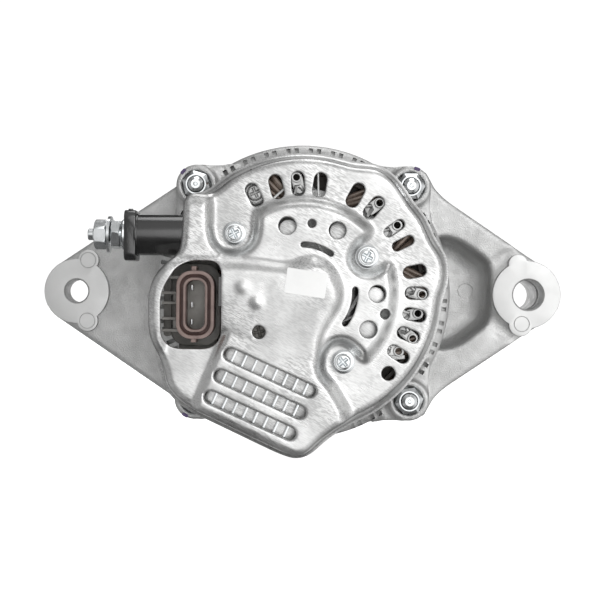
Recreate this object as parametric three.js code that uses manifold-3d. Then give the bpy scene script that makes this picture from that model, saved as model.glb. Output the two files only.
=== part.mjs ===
// A car alternator, seen from its slip-ring end along +Y. Millimetres, +Z up.
// The shaft lies on the Y axis, the pulley is at +Y, and Y = 0 is the rear face of the two ears.
import * as THREE from "three";
import { mergeVertices } from "three/addons/utils/BufferGeometryUtils.js";
import { ConvexGeometry } from "three/addons/geometries/ConvexGeometry.js";
import Module from "manifold-3d";

const wasm = await Module();
wasm.setup();

// ---------- driving dimensions ----------
const GAP = 0.3; // between pieces that touch

const EAR = {
  span: 92, radius: 13.6, pad: 2.5, slope: 34, thin: 12, thick: 40, holeLeft: 4.6, holeRight: 6.1,
};
const SHELL = { radius: 59.3, bore: 56.5, split: -4, front: 38, rear: -24 };
const BOLT = { place: 42.3, radius: 3, boss: 9, frontEnd: 38, rearFace: -13.3, spotFace: 6.9 };
const STATOR = { radius: 56.2, bore: 44.4, front: 22, rear: -6, slots: 36, slotDepth: 8 };
const WINDING = { inner: 46.5, outer: 52, front: 30, rear: -15 };
const ROTOR = { radius: 43.8, front: 26, rear: -10, claws: 6, disc: 30, core: 18 };
const SHAFT = { middle: 8.5, front: 8.2, rear: 7.2, tail: 5.5, thread: 7 };
const FRONT_BEARING = { bore: 8.5, radius: 23.5, rear: 34.9, width: 14, balls: 7 };
const REAR_BEARING = { bore: 7.5, radius: 17.5, rear: -33.3, width: 11, balls: 7 };
const PULLEY = { radius: 34.5, rear: 53, width: 20, grooveTop: 6.6, grooveFloor: 2.6, grooveDepth: 10.5 };
const SLIP = { radius: 9, width: 4.6, inner: -39.6, outer: -45 };
const BRUSH = { width: 4, height: 7, length: 10, spring: 10.1, wall: 0.75 };
const COVER = { radius: 54.2, rim: -24.3, ring: -42.4, face: -47, panel: -49.6, dome: -51,
  sheet: 1.2, draw: 1.5 };
const SCREW_SEAT = { head: 4.6, hole: 2.5, pocket1: 14, pocket2: 13, pocket3: 12 };
const TERMINAL = { y: -36, z: 21.3, tube: 7.75, stud: 3 };
const SOCKET = { x: -39.8, z: -5, width: 14, height: 25.5, mouth: -49.6, floor: -39, pitch: 6.4 };
const FIN = { turn: -24.3, pitch: 4.2, count: 8, thickness: 0.9, length: 23, x: -15.6, z: -37.9,
  window: 16.2, windowPitch: 8.7, windowWidth: 4.7, tip: -46 };
const COVER_SCREWS = [[-25.8, 21.8], [24.1, 13.5], [15.3, -25.9]];
const NEGATIVE_DIODES = { angles: [88, 20, -38], place: 36, radius: 5, span: [-32.6, -27] };
const POSITIVE_DIODES = { angles: [103, 61, -1, -29], place: 27.5, radius: 4.2, span: [-42, -35] };

const finish = (color, roughness, metalness) =>
  new THREE.MeshStandardMaterial({ color, roughness, metalness });
const CAST = finish(0xb4b4b2, 0.55, 0.9);
const SHEET = finish(0xdcdddc, 0.35, 0.95);
const ZINC = finish(0xbfc4c8, 0.3, 0.95);
const STEEL = finish(0x8c8c8e, 0.35, 1);
const IRON = finish(0x55555a, 0.6, 0.8);
const COPPER = finish(0xb0622f, 0.4, 0.9);
const CARBON = finish(0x2a2a2c, 0.8, 0.1);
const BLACK = finish(0x18181a, 0.4, 0);
const BROWN = finish(0x6d5f58, 0.6, 0);
const WHITE = finish(0xf2f2ee, 0.7, 0);

// ---------- helpers ----------
const alternator = new THREE.Group();
const radians = THREE.MathUtils.degToRad;
const vectors = (points) => points.map(([x, y]) => new THREE.Vector2(x, y));

function solid(shape) {
  if (!(shape instanceof THREE.BufferGeometry)) return shape;
  const bare = shape.clone();
  bare.deleteAttribute("normal");
  bare.deleteAttribute("uv");
  const merged = mergeVertices(bare, 1e-3);
  const triVerts = new Uint32Array(merged.index.array);
  return new wasm.Manifold(
    new wasm.Mesh({ numProp: 3, vertProperties: merged.attributes.position.array, triVerts }),
  );
}

const join = (...shapes) => shapes.map(solid).reduce((all, next) => all.add(next));
const cut = (body, ...tools) => tools.map(solid).reduce((left, tool) => left.subtract(tool), solid(body));

function geometryOf(shape) {
  if (shape instanceof THREE.BufferGeometry) return shape;
  const { vertProperties, triVerts } = shape.getMesh();
  return new THREE.BufferGeometry()
    .setAttribute("position", new THREE.BufferAttribute(vertProperties, 3))
    .setIndex(new THREE.BufferAttribute(triVerts, 1));
}

function add(name, shape, material) {
  const geometry = geometryOf(shape);
  geometry.computeVertexNormals();
  const mesh = new THREE.Mesh(geometry, material);
  mesh.name = name;
  alternator.add(mesh);
  return mesh;
}

// A closed profile of [radius, y] points, anticlockwise with radius to the right, turned about the Y axis.
function turned(profile, steps = 28) {
  const closed = profile[0][0] === 0 ? profile : [...profile, profile[0]];
  return new THREE.LatheGeometry(vectors(closed), steps);
}

const ring = (inner, outer, low, high, steps) =>
  turned([[inner, low], [outer, low], [outer, high], [inner, high]], steps);

// A shape drawn in X and Z, as thick as the stretch from low to high along Y.
function prism(shape, low, high, curveSegments = 3) {
  const depth = high - low;
  const geometry = new THREE.ExtrudeGeometry(shape, { depth, bevelEnabled: false, curveSegments });
  return geometry.rotateX(Math.PI / 2).translate(0, high, 0);
}

const polygon = (points) => new THREE.Shape(vectors(points));
const rod = (x, z, radius, low, high, sides = 12) =>
  new THREE.CylinderGeometry(radius, radius, high - low, sides).translate(x, (low + high) / 2, z);
const block = (x, y, z) =>
  new THREE.BoxGeometry(x[1] - x[0], y[1] - y[0], z[1] - z[0])
    .translate((x[0] + x[1]) / 2, (y[0] + y[1]) / 2, (z[0] + z[1]) / 2);
const turnY = (geometry, degrees) => geometry.rotateY(-radians(degrees)); // anticlockwise seen along +Y
const spread = (count, make) => Array.from({ length: count }, (_, i) => make((360 / count) * i, i));

// A slot with round ends from one point to another.
function slot([x1, z1], [x2, z2], width) {
  const angle = Math.atan2(z2 - z1, x2 - x1);
  const shape = new THREE.Shape();
  shape.absarc(x1, z1, width / 2, angle + Math.PI / 2, angle + 1.5 * Math.PI);
  shape.absarc(x2, z2, width / 2, angle - Math.PI / 2, angle + Math.PI / 2);
  return shape;
}

// Part of a flat ring, between two angles in degrees.
function sector(inner, outer, from, to) {
  const shape = new THREE.Shape();
  shape.absarc(0, 0, outer, radians(from), radians(to));
  shape.absarc(0, 0, inner, radians(to), radians(from), true);
  return shape;
}

const polar = (radius, degrees) => [radius * Math.cos(radians(degrees)), radius * Math.sin(radians(degrees))];

function roundedBox(x, z, width, height, corner) {
  const [left, right, low, high] = [x - width / 2, x + width / 2, z - height / 2, z + height / 2];
  const shape = new THREE.Shape();
  shape.absarc(right - corner, high - corner, corner, 0, Math.PI / 2);
  shape.absarc(left + corner, high - corner, corner, Math.PI / 2, Math.PI);
  shape.absarc(left + corner, low + corner, corner, Math.PI, 1.5 * Math.PI);
  shape.absarc(right - corner, low + corner, corner, 1.5 * Math.PI, 2 * Math.PI);
  return shape;
}

const boltPlaces = [45, 135, 225, 315].map((a) => polar(BOLT.place * Math.SQRT2, a));

// ---------- housings ----------
// An arm runs from the ear's round end, along two straight edges, into the round shell.
function arm(side, low, high) {
  const rise = radians(EAR.slope);
  const [touchX, touchZ] = [EAR.radius * Math.sin(rise), EAR.radius * Math.cos(rise)];
  const inner = 50;
  const height = touchZ + (EAR.span + touchX - inner) * Math.tan(rise);
  const shape = new THREE.Shape();
  shape.moveTo(inner, -height);
  shape.absarc(EAR.span, 0, EAR.radius, rise - Math.PI / 2, Math.PI / 2 - rise);
  shape.lineTo(inner, height);
  shape.lineTo(30, height);
  shape.lineTo(30, -height);
  const made = solid(prism(shape, low, high, 6));
  return side > 0 ? made : made.mirror([1, 0, 0]);
}

function ventWindows(low, high, inner, outer) {
  return [90, 270].flatMap((middle) =>
    [-27, -9, 9, 27].map((turn) =>
      turnY(block([inner, outer], [low, high], [-6, 6]), middle + turn),
    ),
  );
}

function driveEndFrame() {
  const { radius, bore, split, front } = SHELL;
  const bossFront = FRONT_BEARING.rear + FRONT_BEARING.width + 1.5;
  const outer = turned(
    [[0, split], [radius, split], [radius, 28], [55.2, front], [30, front], [28, bossFront], [0, bossFront]],
    36);
  const ears = [
    arm(-1, EAR.pad, EAR.thin),
    arm(1, EAR.pad, EAR.thick - 6),
    rod(-EAR.span, 0, EAR.radius - 0.4, 0, EAR.pad + 1, 24),
    rod(EAR.span, 0, EAR.radius + 0.8, 0, EAR.thick, 24),
  ];
  const bosses = boltPlaces.map(([x, z]) => rod(x, z, BOLT.boss, split, BOLT.frontEnd, 16));
  const bearingBore = FRONT_BEARING.radius + GAP;
  const stop = FRONT_BEARING.rear + FRONT_BEARING.width + GAP;
  const cavity = turned(
    [[0, split - 5], [bore, split - 5], [bore, 27], [52, front - 4], [bearingBore, front - 4],
      [bearingBore, stop], [20, stop], [20, front + 20], [0, front + 20]], 36);
  const vents = spread(8, (angle) => prism(sector(34, 49, angle - 16, angle + 16), front - 6, front + 2, 2));
  const pocket = prism(
    polygon([[62, 22], [65.5, 21], [75, 14.5], [76.5, 9], [76.5, -7], [74.5, -12], [65, -20], [62, -21]]),
    -1, EAR.thick - 12);
  const holes = [
    rod(-EAR.span, 0, EAR.holeLeft, -1, EAR.thin + 1, 20),
    rod(EAR.span, 0, EAR.holeRight, -1, EAR.thick + 1, 20),
    rod(EAR.span, 0, EAR.holeRight + 2.2, 14, EAR.thick + 1, 20),
    ...boltPlaces.map(([x, z]) => rod(x, z, BOLT.radius + GAP, split - 1, BOLT.frontEnd + 1)),
    ...retainerPlaces.map(([x, z]) => rod(x, z, 2.3, front - 6, front + 1, 8)),
  ];
  const body = join(outer, ...ears, ...bosses);
  return cut(body, cavity, pocket, ...vents, ...ventWindows(23, 30, 50, 64), ...holes);
}

const earBush = () =>
  ring(EAR.holeRight, EAR.holeRight + 1.8, 14 + GAP, EAR.thick - GAP, 20).translate(EAR.span, 0, 0);

function rearFrame() {
  const { radius, bore, split, rear } = SHELL;
  const top = split - GAP;
  const end = REAR_BEARING.rear - 1.7;
  const outer = turned(
    [[0, end], [20.8, end], [21.5, rear], [55.4, rear], [57.8, -10], [radius, -8], [radius, top], [0, top]],
    36);
  const bosses = boltPlaces.map(([x, z]) => rod(x, z, BOLT.boss - 0.2, BOLT.rearFace, top, 16));
  const bearingBore = REAR_BEARING.radius + GAP;
  const stop = REAR_BEARING.rear - GAP;
  const cavity = turned(
    [[0, end - 5], [11, end - 5], [11, stop], [bearingBore, stop], [bearingBore, rear + 3], [52.8, rear + 3],
      [52.8, -6.3], [bore, -6.3], [bore, top + 2], [0, top + 2]], 36);
  const vents = spread(8, (angle) => prism(sector(27, 48, angle - 15, angle + 15), rear - 2, rear + 5, 2));
  const holes = boltPlaces.flatMap(([x, z]) => [
    rod(x, z, BOLT.radius + GAP, BOLT.rearFace - 1, top + 1),
    rod(x, z, BOLT.spotFace, rear - 1, BOLT.rearFace, 16),
  ]);
  return cut(join(outer, ...bosses), cavity, ...vents, ...ventWindows(-19, -11, 50, 64), ...holes);
}

function throughBolt([x, z]) {
  return join(
    rod(x, z, BOLT.radius, -21, BOLT.frontEnd + 6, 10),
    rod(x, z, 5.6, BOLT.frontEnd + GAP, BOLT.frontEnd + 5, 6),
    rod(x, z, 6.3, BOLT.frontEnd + GAP, BOLT.frontEnd + 1.8, 16),
  );
}

function flangeNut([x, z]) {
  const seat = BOLT.rearFace - GAP;
  return cut(join(rod(x, z, 6.4, seat - 1.6, seat, 16), rod(x, z, 5.6, seat - 6, seat, 6)),
    rod(x, z, BOLT.radius + GAP, seat - 7, seat + 1));
}

// ---------- stator ----------
function statorCore() {
  const { radius, bore, front, rear, slots, slotDepth } = STATOR;
  const shape = new THREE.Shape();
  shape.absarc(0, 0, radius, 0, 2 * Math.PI);
  const pitch = 360 / slots;
  const edge = spread(slots, (angle) => [
    polar(bore, angle - 0.24 * pitch), polar(bore + slotDepth, angle - 0.2 * pitch),
    polar(bore + slotDepth, angle + 0.2 * pitch), polar(bore, angle + 0.24 * pitch),
  ]).flat();
  shape.holes.push(new THREE.Path(vectors(edge)));
  return prism(shape, rear, front, 18);
}

// Two end rings and the straight conductors that join them through the core's slots.
function statorWinding() {
  const { inner, outer, front, rear } = WINDING;
  const bars = spread(STATOR.slots, (angle) =>
    turnY(block([inner + 0.5, outer - 1], [STATOR.rear - 2, STATOR.front + 2], [-1.1, 1.1]), angle));
  const frontEnd = ring(inner, outer, STATOR.front + GAP, front, 28);
  const rearEnd = ring(inner, outer, rear, STATOR.rear - GAP, 28);
  return join(frontEnd, rearEnd, ...bars);
}

// ---------- rotor ----------
// One finger of a claw pole: an arm from the disc, and a finger that narrows along the rotor.
function claw(angle, root, floor, tip) {
  const corners = (y, inner, outer, half) =>
    [-half, 0, half].flatMap((turn) => [inner, outer].map((r) => {
      const [x, z] = polar(r, angle + turn);
      return new THREE.Vector3(x, y, z);
    }));
  const { radius, disc } = ROTOR;
  return [
    new ConvexGeometry([...corners(root, disc - 4, radius - 2, 12), ...corners(floor, disc - 4, radius, 13)]),
    new ConvexGeometry([...corners(floor, radius - 6, radius, 13), ...corners(tip, radius - 3, radius, 5.5)]),
  ];
}

function poleHalf(root, floor, tip, middle, firstAngle) {
  const [low, high] = [Math.min(root, floor), Math.max(root, floor)];
  const fingers = spread(ROTOR.claws, (angle) => claw(firstAngle + angle, root, floor, tip)).flat();
  const core = rod(0, 0, ROTOR.core, Math.min(root, middle), Math.max(root, middle), 24);
  return cut(join(rod(0, 0, ROTOR.disc, low, high, 24), core, ...fingers),
    rod(0, 0, SHAFT.middle + GAP, low - 60, high + 60, 16));
}

function rotorShaft() {
  const nutEnd = PULLEY.rear + PULLEY.width + 14;
  const step = ROTOR.front + 0.5;
  const threadStart = PULLEY.rear + PULLEY.width - 1;
  return turned([[0, -48.6], [SHAFT.tail - 0.6, -48.6], [SHAFT.tail, -48], [SHAFT.tail, -35],
    [SHAFT.rear, -35], [SHAFT.rear, -20.5], [SHAFT.middle, -20.5], [SHAFT.middle, step],
    [SHAFT.front, step], [SHAFT.front, threadStart], [SHAFT.thread, threadStart],
    [SHAFT.thread, nutEnd - 1], [SHAFT.thread - 1, nutEnd], [0, nutEnd]], 16);
}

// A disc with blades that stand up along one side of it.
function fan(base, side, blades, lean) {
  const sheet = 1.2;
  const height = 3.5;
  const low = side > 0 ? base : base - sheet;
  const bladeSpan = side > 0 ? [base, base + sheet + height] : [base - sheet - height, base];
  const blade = (angle) =>
    turnY(turnY(block([-7, 7], bladeSpan, [-0.6, 0.6]), lean).translate(33, 0, 0), angle);
  const disc = cut(rod(0, 0, 38, low, low + sheet, 32), rod(0, 0, SHAFT.middle + GAP, low - 1, low + 2, 16));
  return join(disc, ...spread(blades, blade));
}

const slipRing = (y) => ring(SLIP.radius - 1.5, SLIP.radius, y - SLIP.width / 2, y + SLIP.width / 2, 20);
const slipRingHub = () =>
  turned([[SHAFT.tail + GAP, -48.3], [SLIP.radius - 1.8, -48.3], [SLIP.radius - 1.8, -37], [9.6, -37],
    [9.6, -36], [SHAFT.tail + GAP, -36]], 20);

// ---------- bearings ----------
function bearing(prefix, place) {
  const { bore, radius, rear, width, balls } = place;
  const front = rear + width;
  const middle = rear + width / 2;
  const ball = (radius - bore) * 0.27;
  const path = (radius + bore) / 2;
  const groove = [[-0.85, 0.6], [-0.5, 0.95], [0, 1.05], [0.5, 0.95], [0.85, 0.6]];
  const raceway = (side) => groove.map(([along, out]) => [path + side * ball * out, middle + along * ball]);
  const shoulder = 0.6 * ball;
  const inner = turned([[bore, rear], [path - shoulder, rear], ...raceway(-1), [path - shoulder, front],
    [bore, front]], 20);
  const outer = turned([[path + shoulder, rear], [radius, rear], [radius, front], [path + shoulder, front],
    ...raceway(1).reverse()], 20);
  const cage = ring(path - 0.45 * shoulder, path + 0.45 * shoulder, middle - 1.1, middle + 1.1, 16);
  const set = spread(balls, (angle) => {
    const [x, z] = polar(path, angle);
    return new THREE.SphereGeometry(ball - 0.4, 7, 5).translate(x, middle, z);
  });
  add(prefix + "_bearing_outer_race", outer, STEEL);
  add(prefix + "_bearing_inner_race", inner, STEEL);
  add(prefix + "_bearing_balls", join(cage, ...set), STEEL);
}

const retainerPlaces = [0, 90, 180, 270].map((angle) => polar(27.5, angle + 45));

function bearingRetainer() {
  const back = SHELL.front - 4 - GAP;
  return cut(rod(0, 0, 31, back - 1.2, back, 24), rod(0, 0, 20, back - 2, back + 1, 24),
    ...retainerPlaces.map(([x, z]) => rod(x, z, 2.3, back - 2, back + 1, 8)));
}

const retainerScrew = ([x, z]) =>
  join(rod(x, z, 2, SHELL.front - 6.2, SHELL.front - 0.5, 8),
    rod(x, z, 3.4, SHELL.front - 6.6, SHELL.front - 5.8, 10));

// ---------- pulley end ----------
function pulley() {
  const { radius, rear, width, grooveTop, grooveFloor, grooveDepth } = PULLEY;
  const front = rear + width;
  const middle = rear + width / 2;
  const floor = radius - grooveDepth;
  return turned([[SHAFT.front + GAP, rear], [16, rear], [16, rear + 4], [20, rear + 4],
    [radius - 4, rear + 2], [radius, rear + 2.6], [radius, middle - grooveTop], [floor, middle - grooveFloor],
    [floor, middle + grooveFloor], [radius, middle + grooveTop], [radius, front - 2.6],
    [radius - 4, front - 2], [22, front - 5], [16, front - 5], [16, front], [SHAFT.front + GAP, front]], 28);
}

const shaftSpacer = () => ring(SHAFT.front + GAP, 12.5, FRONT_BEARING.rear + FRONT_BEARING.width + GAP,
  PULLEY.rear - GAP, 20);
const pulleyWasher = () => ring(SHAFT.thread + GAP, 12.5, PULLEY.rear + PULLEY.width + GAP,
  PULLEY.rear + PULLEY.width + 2.5, 20);

function pulleyNut() {
  const seat = PULLEY.rear + PULLEY.width + 2.5 + GAP;
  return cut(rod(0, 0, 12.7, seat, seat + 9, 6), rod(0, 0, SHAFT.thread + GAP, seat - 1, seat + 10, 20));
}

// ---------- rear cover ----------
const arcPoints = (radius, from, to, count) =>
  Array.from({ length: count }, (_, i) => polar(radius, from + ((to - from) * i) / (count - 1)));

// The pressed cover's edge: round, with a swelling at the right and a flat-sided bay at the lower left.
const coverEdge = [
  ...arcPoints(COVER.radius, 126, 70, 8),
  [23.6, 50.6], [28.1, 50.2], [32.2, 48.3], [36.3, 45], [39.3, 40.9], [42.7, 35.7], [47.6, 29.8],
  [51.8, 20.5], [54.8, 16.6], [56.3, 12.5], [56.7, 7.5], [55.9, 1.3], [54.1, -2],
  ...arcPoints(COVER.radius, -7, -68, 8),
  [15.5, -53], [8.8, -57.8], [5.1, -61.6], [1.4, -64], [-3, -64.6], [-9.8, -62.1], [-43.4, -46.4],
  [-49.2, -42.2], [-53.6, -36.8], [-55.7, -27], [-58.4, -15.7], [-58.9, -10.9], [-58.7, -0.1],
  [-56.4, 6.5], [-52, 11.6], [-47.3, 15.1], [-46.5, 29.2], [-45.9, 36], [-43.7, 38.1], [-38.8, 38.5],
  [-35.1, 40.8],
];

// The same edge moved inwards; the points run clockwise seen along +Y.
function inset(points, distance) {
  return points.map(([x, z], i) => {
    const [ax, az] = points.at(i - 1);
    const [bx, bz] = points[(i + 1) % points.length];
    const length = Math.hypot(bx - ax, bz - az);
    return [x + (distance * (bz - az)) / length, z - (distance * (bx - ax)) / length];
  });
}

// The areas that stand proud of the cover's vent ring; they may run past its edge.
const domeEdge = [
  [-62, 13.8], [-7, 14.4], [3, 14.6], [8.3, 13], [13, 9], [15.8, 4], [16.8, -3], [15, -7.4], [10.2, -15.4],
  [7.6, -20.5], [7, -26], [-5.8, -23.6], [-19.4, -18.2], [-29.4, -13.3], [-31, -22.4], [-62, -22.4],
];
const humpEdge = [[-62, 37.5], [-37, 37.5], [-33, 34], [-33, 10], [-62, 10]];
const bayEdge = [[-62, 15], [-30, 15], [-30, -14], [12, -28], [6, -62], [2, -70], [-62, -70]];
const panelEdge = [
  [-28.6, -15], [-20, -16], [5, -24], [8, -29.5], [12, -34], [16.5, -44], [14.5, -50], [9, -56], [2.5, -60],
  [-2.4, -57.8], [-39.9, -42.5], [-40.7, -39.3],
];
const raisedAreas = [
  [arcPoints(35, 180, -170, 36), COVER.face], [humpEdge, COVER.face], [bayEdge, COVER.face],
  [panelEdge, COVER.panel], [domeEdge, COVER.dome],
];

const ventSlots = [
  ...[117, 104.5, 93, 81.5].map((angle) => [angle, 38.5, 43, 4.9]),
  ...[62, 50.5].map((angle) => [angle, 39, 43.8, 4.9]),
  ...[35.5, 26.5].map((angle) => [angle, 39.3, 44.4, 3.6]),
  ...[11, 0, -11, -21.5, -32.5].map((angle) => [angle, 40.6, 44.8, 4.6]),
  [-43, 44, 44.6, 5],
];
const roundHoles = [
  [-6, 24.7, 3.3], [3.2, 25.6, 1.6], [12.7, 23.1, 3.2], [27.7, -0.4, 3.2], [30.7, -7.9, 1.9],
  [24.5, -13.7, 3.25], [-16.1, -14.9, 2.5],
];
// Each pocket runs from its screw out into the vent ring.
const pockets = [
  [COVER_SCREWS[0], [-24, 36], SCREW_SEAT.pocket1],
  [COVER_SCREWS[1], [36, 20.5], SCREW_SEAT.pocket2],
  [COVER_SCREWS[2], [25.5, -37.5], SCREW_SEAT.pocket3],
];

const finAxis = polar(1, FIN.turn);
const finPlace = (along, across) =>
  [FIN.x + along * finAxis[0] - across * finAxis[1], FIN.z + along * finAxis[1] + across * finAxis[0]];

// The cover pressed as a solid: its edge brought in by margin, and every top lowered by it.
function pressing(margin) {
  const { rim, ring, dome, draw } = COVER;
  const edge = polygon(inset(coverEdge, draw + margin));
  const clip = solid(prism(edge, dome - 1, rim));
  const raised = raisedAreas.map(([outline, level]) =>
    solid(prism(polygon(inset(outline, margin)), level + margin, ring + 2)).intersect(clip));
  const sinks = pockets.map(([from, to, width]) =>
    prism(slot(from, to, width + 2 * margin), dome - 2, ring + margin, 4));
  return cut(join(prism(edge, ring + margin, rim), ...raised), ...sinks);
}

function rearCover() {
  const { rim, ring, dome, sheet } = COVER;
  const flange = prism(polygon(coverEdge), rim - 1, rim);
  const inner = join(pressing(sheet), prism(polygon(inset(coverEdge, COVER.draw + sheet)), rim - 2, rim + 1));
  const through = (shape) => prism(shape, dome - 2, ring + 5, 2);
  const finWindow = (across) =>
    slot(finPlace(-FIN.window, across), finPlace(FIN.window, across), FIN.windowWidth);
  const vent = ([angle, from, to, width]) => slot(polar(from, angle), polar(to, angle), width);
  const openings = [
    ...ventSlots.map((place) => through(vent(place))),
    ...roundHoles.map(([x, z, radius]) => through(slot([x, z], [x + 0.01, z], 2 * radius))),
    ...[1, 0, -1].map((row) => through(finWindow(row * FIN.windowPitch))),
    through(roundedBox(SOCKET.x - 1.6, SOCKET.z, 22.6, 33, 4.5)),
    ...COVER_SCREWS.map(([x, z]) => rod(x, z, SCREW_SEAT.hole, ring - 2, ring + 3, 10)),
    new THREE.CylinderGeometry(TERMINAL.tube + GAP, TERMINAL.tube + GAP, 30, 20)
      .rotateZ(Math.PI / 2).translate(-52, TERMINAL.y, TERMINAL.z),
  ];
  return cut(join(flange, pressing(0)), inner, ...openings);
}

function coverScrew([x, z]) {
  const seat = COVER.ring - GAP;
  const cross = [0, 90].map((turn) =>
    turnY(block([-1.9, 1.9], [seat - 4, seat - 1.6], [-0.5, 0.5]), turn + 20).translate(x, 0, z));
  const flange = rod(x, z, SCREW_SEAT.head, seat - 0.9, seat, 16);
  const head = rod(x, z, SCREW_SEAT.head - 1, seat - 2.6, seat, 16);
  return cut(join(flange, head, rod(x, z, 2, seat - 1, -29, 8)), ...cross);
}

const ratingLabel = () =>
  turnY(block([-7.6, 7.6], [COVER.dome - 0.6, COVER.dome - GAP], [-4.7, 4.7]), -8).translate(1.2, 0, 3.4);

// ---------- charging terminal ----------
// Pieces turned about a line along -X: y in the profile is the distance out from the shaft.
const outward = (geometry) => geometry.rotateZ(Math.PI / 2).translate(0, TERMINAL.y, TERMINAL.z);
const outwardHex = (radius, from, to) =>
  outward(new THREE.CylinderGeometry(radius, radius, to - from, 6).translate(0, (from + to) / 2, 0));

function chargingStud() {
  const { stud, y, z } = TERMINAL;
  return join(
    outward(turned([[0, 36], [stud, 36], [stud, 79], [2.2, 79.4], [2.2, 81.6], [0, 81.6]], 12)),
    block([-40, -29], [y - 2, y - 0.3], [z - 5, z + 3.2]),
  );
}

function terminalInsulator() {
  const tube = outward(ring(TERMINAL.stud + GAP, TERMINAL.tube, 41, 65, 24));
  const collar = prism(roundedBox(0, 0, 15.5, 19, 3), 63.6, 67.5, 4).rotateZ(Math.PI / 2)
    .translate(0, TERMINAL.y, TERMINAL.z);
  const cone = outward(turned([[0, 67], [6.6, 67], [5.6, 69], [0, 69]], 20));
  return cut(join(tube, collar, cone), outward(turned([[0, 40], [3.3, 40], [3.3, 71], [0, 71]], 12)));
}

const terminalNut = (from, to) => {
  const bore = TERMINAL.stud + GAP;
  const hole = turned([[0, from - 1], [bore, from - 1], [bore, to + 1], [0, to + 1]], 12);
  return cut(outwardHex(5.77, from, to), outward(hole));
};
const springWasher = () => outward(ring(TERMINAL.stud + GAP, 7, 72.9, 74.1, 20));

// ---------- regulator ----------
function regulator() {
  const body = polygon([[-47, 12], [-32.6, 12], [-32.6, -20], [-20, -25], [4, -28], [8, -44], [2, -53],
    [-5, -53], [-36, -40.5], [-47, -34]]);
  const { x, z, width, height, mouth, floor } = SOCKET;
  const shroud = prism(roundedBox(x, z, width, height, 5.5), mouth, -34);
  const cavity = prism(roundedBox(x + 0.4, z, width - 5, height - 6.5, 2.5), mouth - 1, floor);
  const pinHoles = socketPinPlaces.map((place) => block([x - 1.9, x - 0.7], [floor - 1, -33.4], place));
  return cut(join(prism(body, -34.2, -27.5), shroud), cavity, ...pinHoles);
}

const socketPinPlaces = [1, 0, -1].map((row) => {
  const middle = SOCKET.z + row * SOCKET.pitch;
  return [middle - 1.4, middle + 1.4];
});
const socketPin = ([low, high]) =>
  block([SOCKET.x - 1.6, SOCKET.x - 1], [SOCKET.mouth + 2.5, -33.8], [low + GAP, high - GAP]);

function regulatorHeatSink() {
  const corners = [[-18.5, 13.5], [19, 13.5], [22, 0], [17.5, -12.5], [-18.5, -12.5]];
  const plate = prism(polygon(corners.map(([along, across]) => finPlace(along, across))), -36.6, -34.2 - GAP);
  const fins = Array.from({ length: FIN.count }, (_, i) => {
    const [x, z] = finPlace((i - (FIN.count - 1) / 2) * FIN.pitch, 0);
    const halves = [FIN.thickness / 2, FIN.length / 2];
    const fin = block([-halves[0], halves[0]], [FIN.tip, -36], [-halves[1], halves[1]]);
    return turnY(fin, FIN.turn).translate(x, 0, z);
  });
  return join(plate, ...fins);
}

// ---------- brushes ----------
const brushEnd = -(SLIP.radius + GAP);
const springStart = brushEnd - BRUSH.length - GAP;
const springEnd = springStart - BRUSH.spring;

function brushHolder() {
  const { width, height, wall } = BRUSH;
  const channel = (y) => block([springEnd - GAP, 0], [y - width / 2 - GAP, y + width / 2 + GAP],
    [-height / 2 - GAP, height / 2 + GAP]);
  const body = block([springEnd - 1.5, brushEnd - 1.2],
    [SLIP.outer - width / 2 - GAP - wall, SLIP.inner + width / 2 + GAP + wall], [-5.4, 5.4]);
  return cut(body, channel(SLIP.inner), channel(SLIP.outer));
}

const brush = (y) =>
  block([brushEnd - BRUSH.length, brushEnd], [y - BRUSH.width / 2, y + BRUSH.width / 2],
    [-BRUSH.height / 2, BRUSH.height / 2]);

class Helix extends THREE.Curve {
  constructor(radius, start, end, turns, y) {
    super();
    Object.assign(this, { radius, start, end, turns, y });
  }

  getPoint(t, target = new THREE.Vector3()) {
    const angle = 2 * Math.PI * this.turns * t;
    const x = this.start + (this.end - this.start) * t;
    return target.set(x, this.y + this.radius * Math.cos(angle), this.radius * Math.sin(angle));
  }
}

function brushSpring(y) {
  const wire = 0.22;
  const path = new Helix(1.6, springStart - wire, springEnd + wire, 5, y);
  const section = new THREE.Shape().absarc(0, 0, wire, 0, 2 * Math.PI);
  return new THREE.ExtrudeGeometry(section,
    { steps: 40, extrudePath: path, bevelEnabled: false, curveSegments: 2 });
}

// ---------- rectifier ----------
function rectifierPlate([low, high], [from, to], [inner, outer], diodes) {
  const plate = prism(sector(inner, outer, from, to), low, high, 7);
  const can = (angle) => rod(...polar(diodes.place, angle), diodes.radius, ...diodes.span);
  const cans = diodes.angles.map(can);
  const holes = COVER_SCREWS.map(([x, z]) => rod(x, z, 2.6, low - 1, high + 1, 8));
  return cut(join(plate, ...cans), ...holes);
}

function terminalBlock() {
  const band = prism(sector(24, 45, -58, 120), -33.6, -32.6, 7);
  const posts = [112, 52, -8].map((angle) => rod(...polar(41, angle), 2.6, -33.6, -28.8, 8));
  const { angles, place, radius } = NEGATIVE_DIODES;
  const diodeHoles = angles.map((angle) => rod(...polar(place, angle), radius + 0.4, -35, -31));
  const screwHoles = COVER_SCREWS.map(([x, z]) => rod(x, z, 2.6, -35, -31, 8));
  return cut(join(band, ...posts), ...diodeHoles, ...screwHoles);
}

// ---------- assembly ----------
add("drive_end_frame", driveEndFrame(), CAST);
add("ear_bush", earBush(), STEEL);
add("rear_frame", rearFrame(), CAST);
boltPlaces.forEach((place, i) => {
  add("through_bolt_" + (i + 1), throughBolt(place), ZINC);
  add("flange_nut_" + (i + 1), flangeNut(place), ZINC);
});
add("stator_core", statorCore(), IRON);
add("stator_winding", statorWinding(), COPPER);

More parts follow.
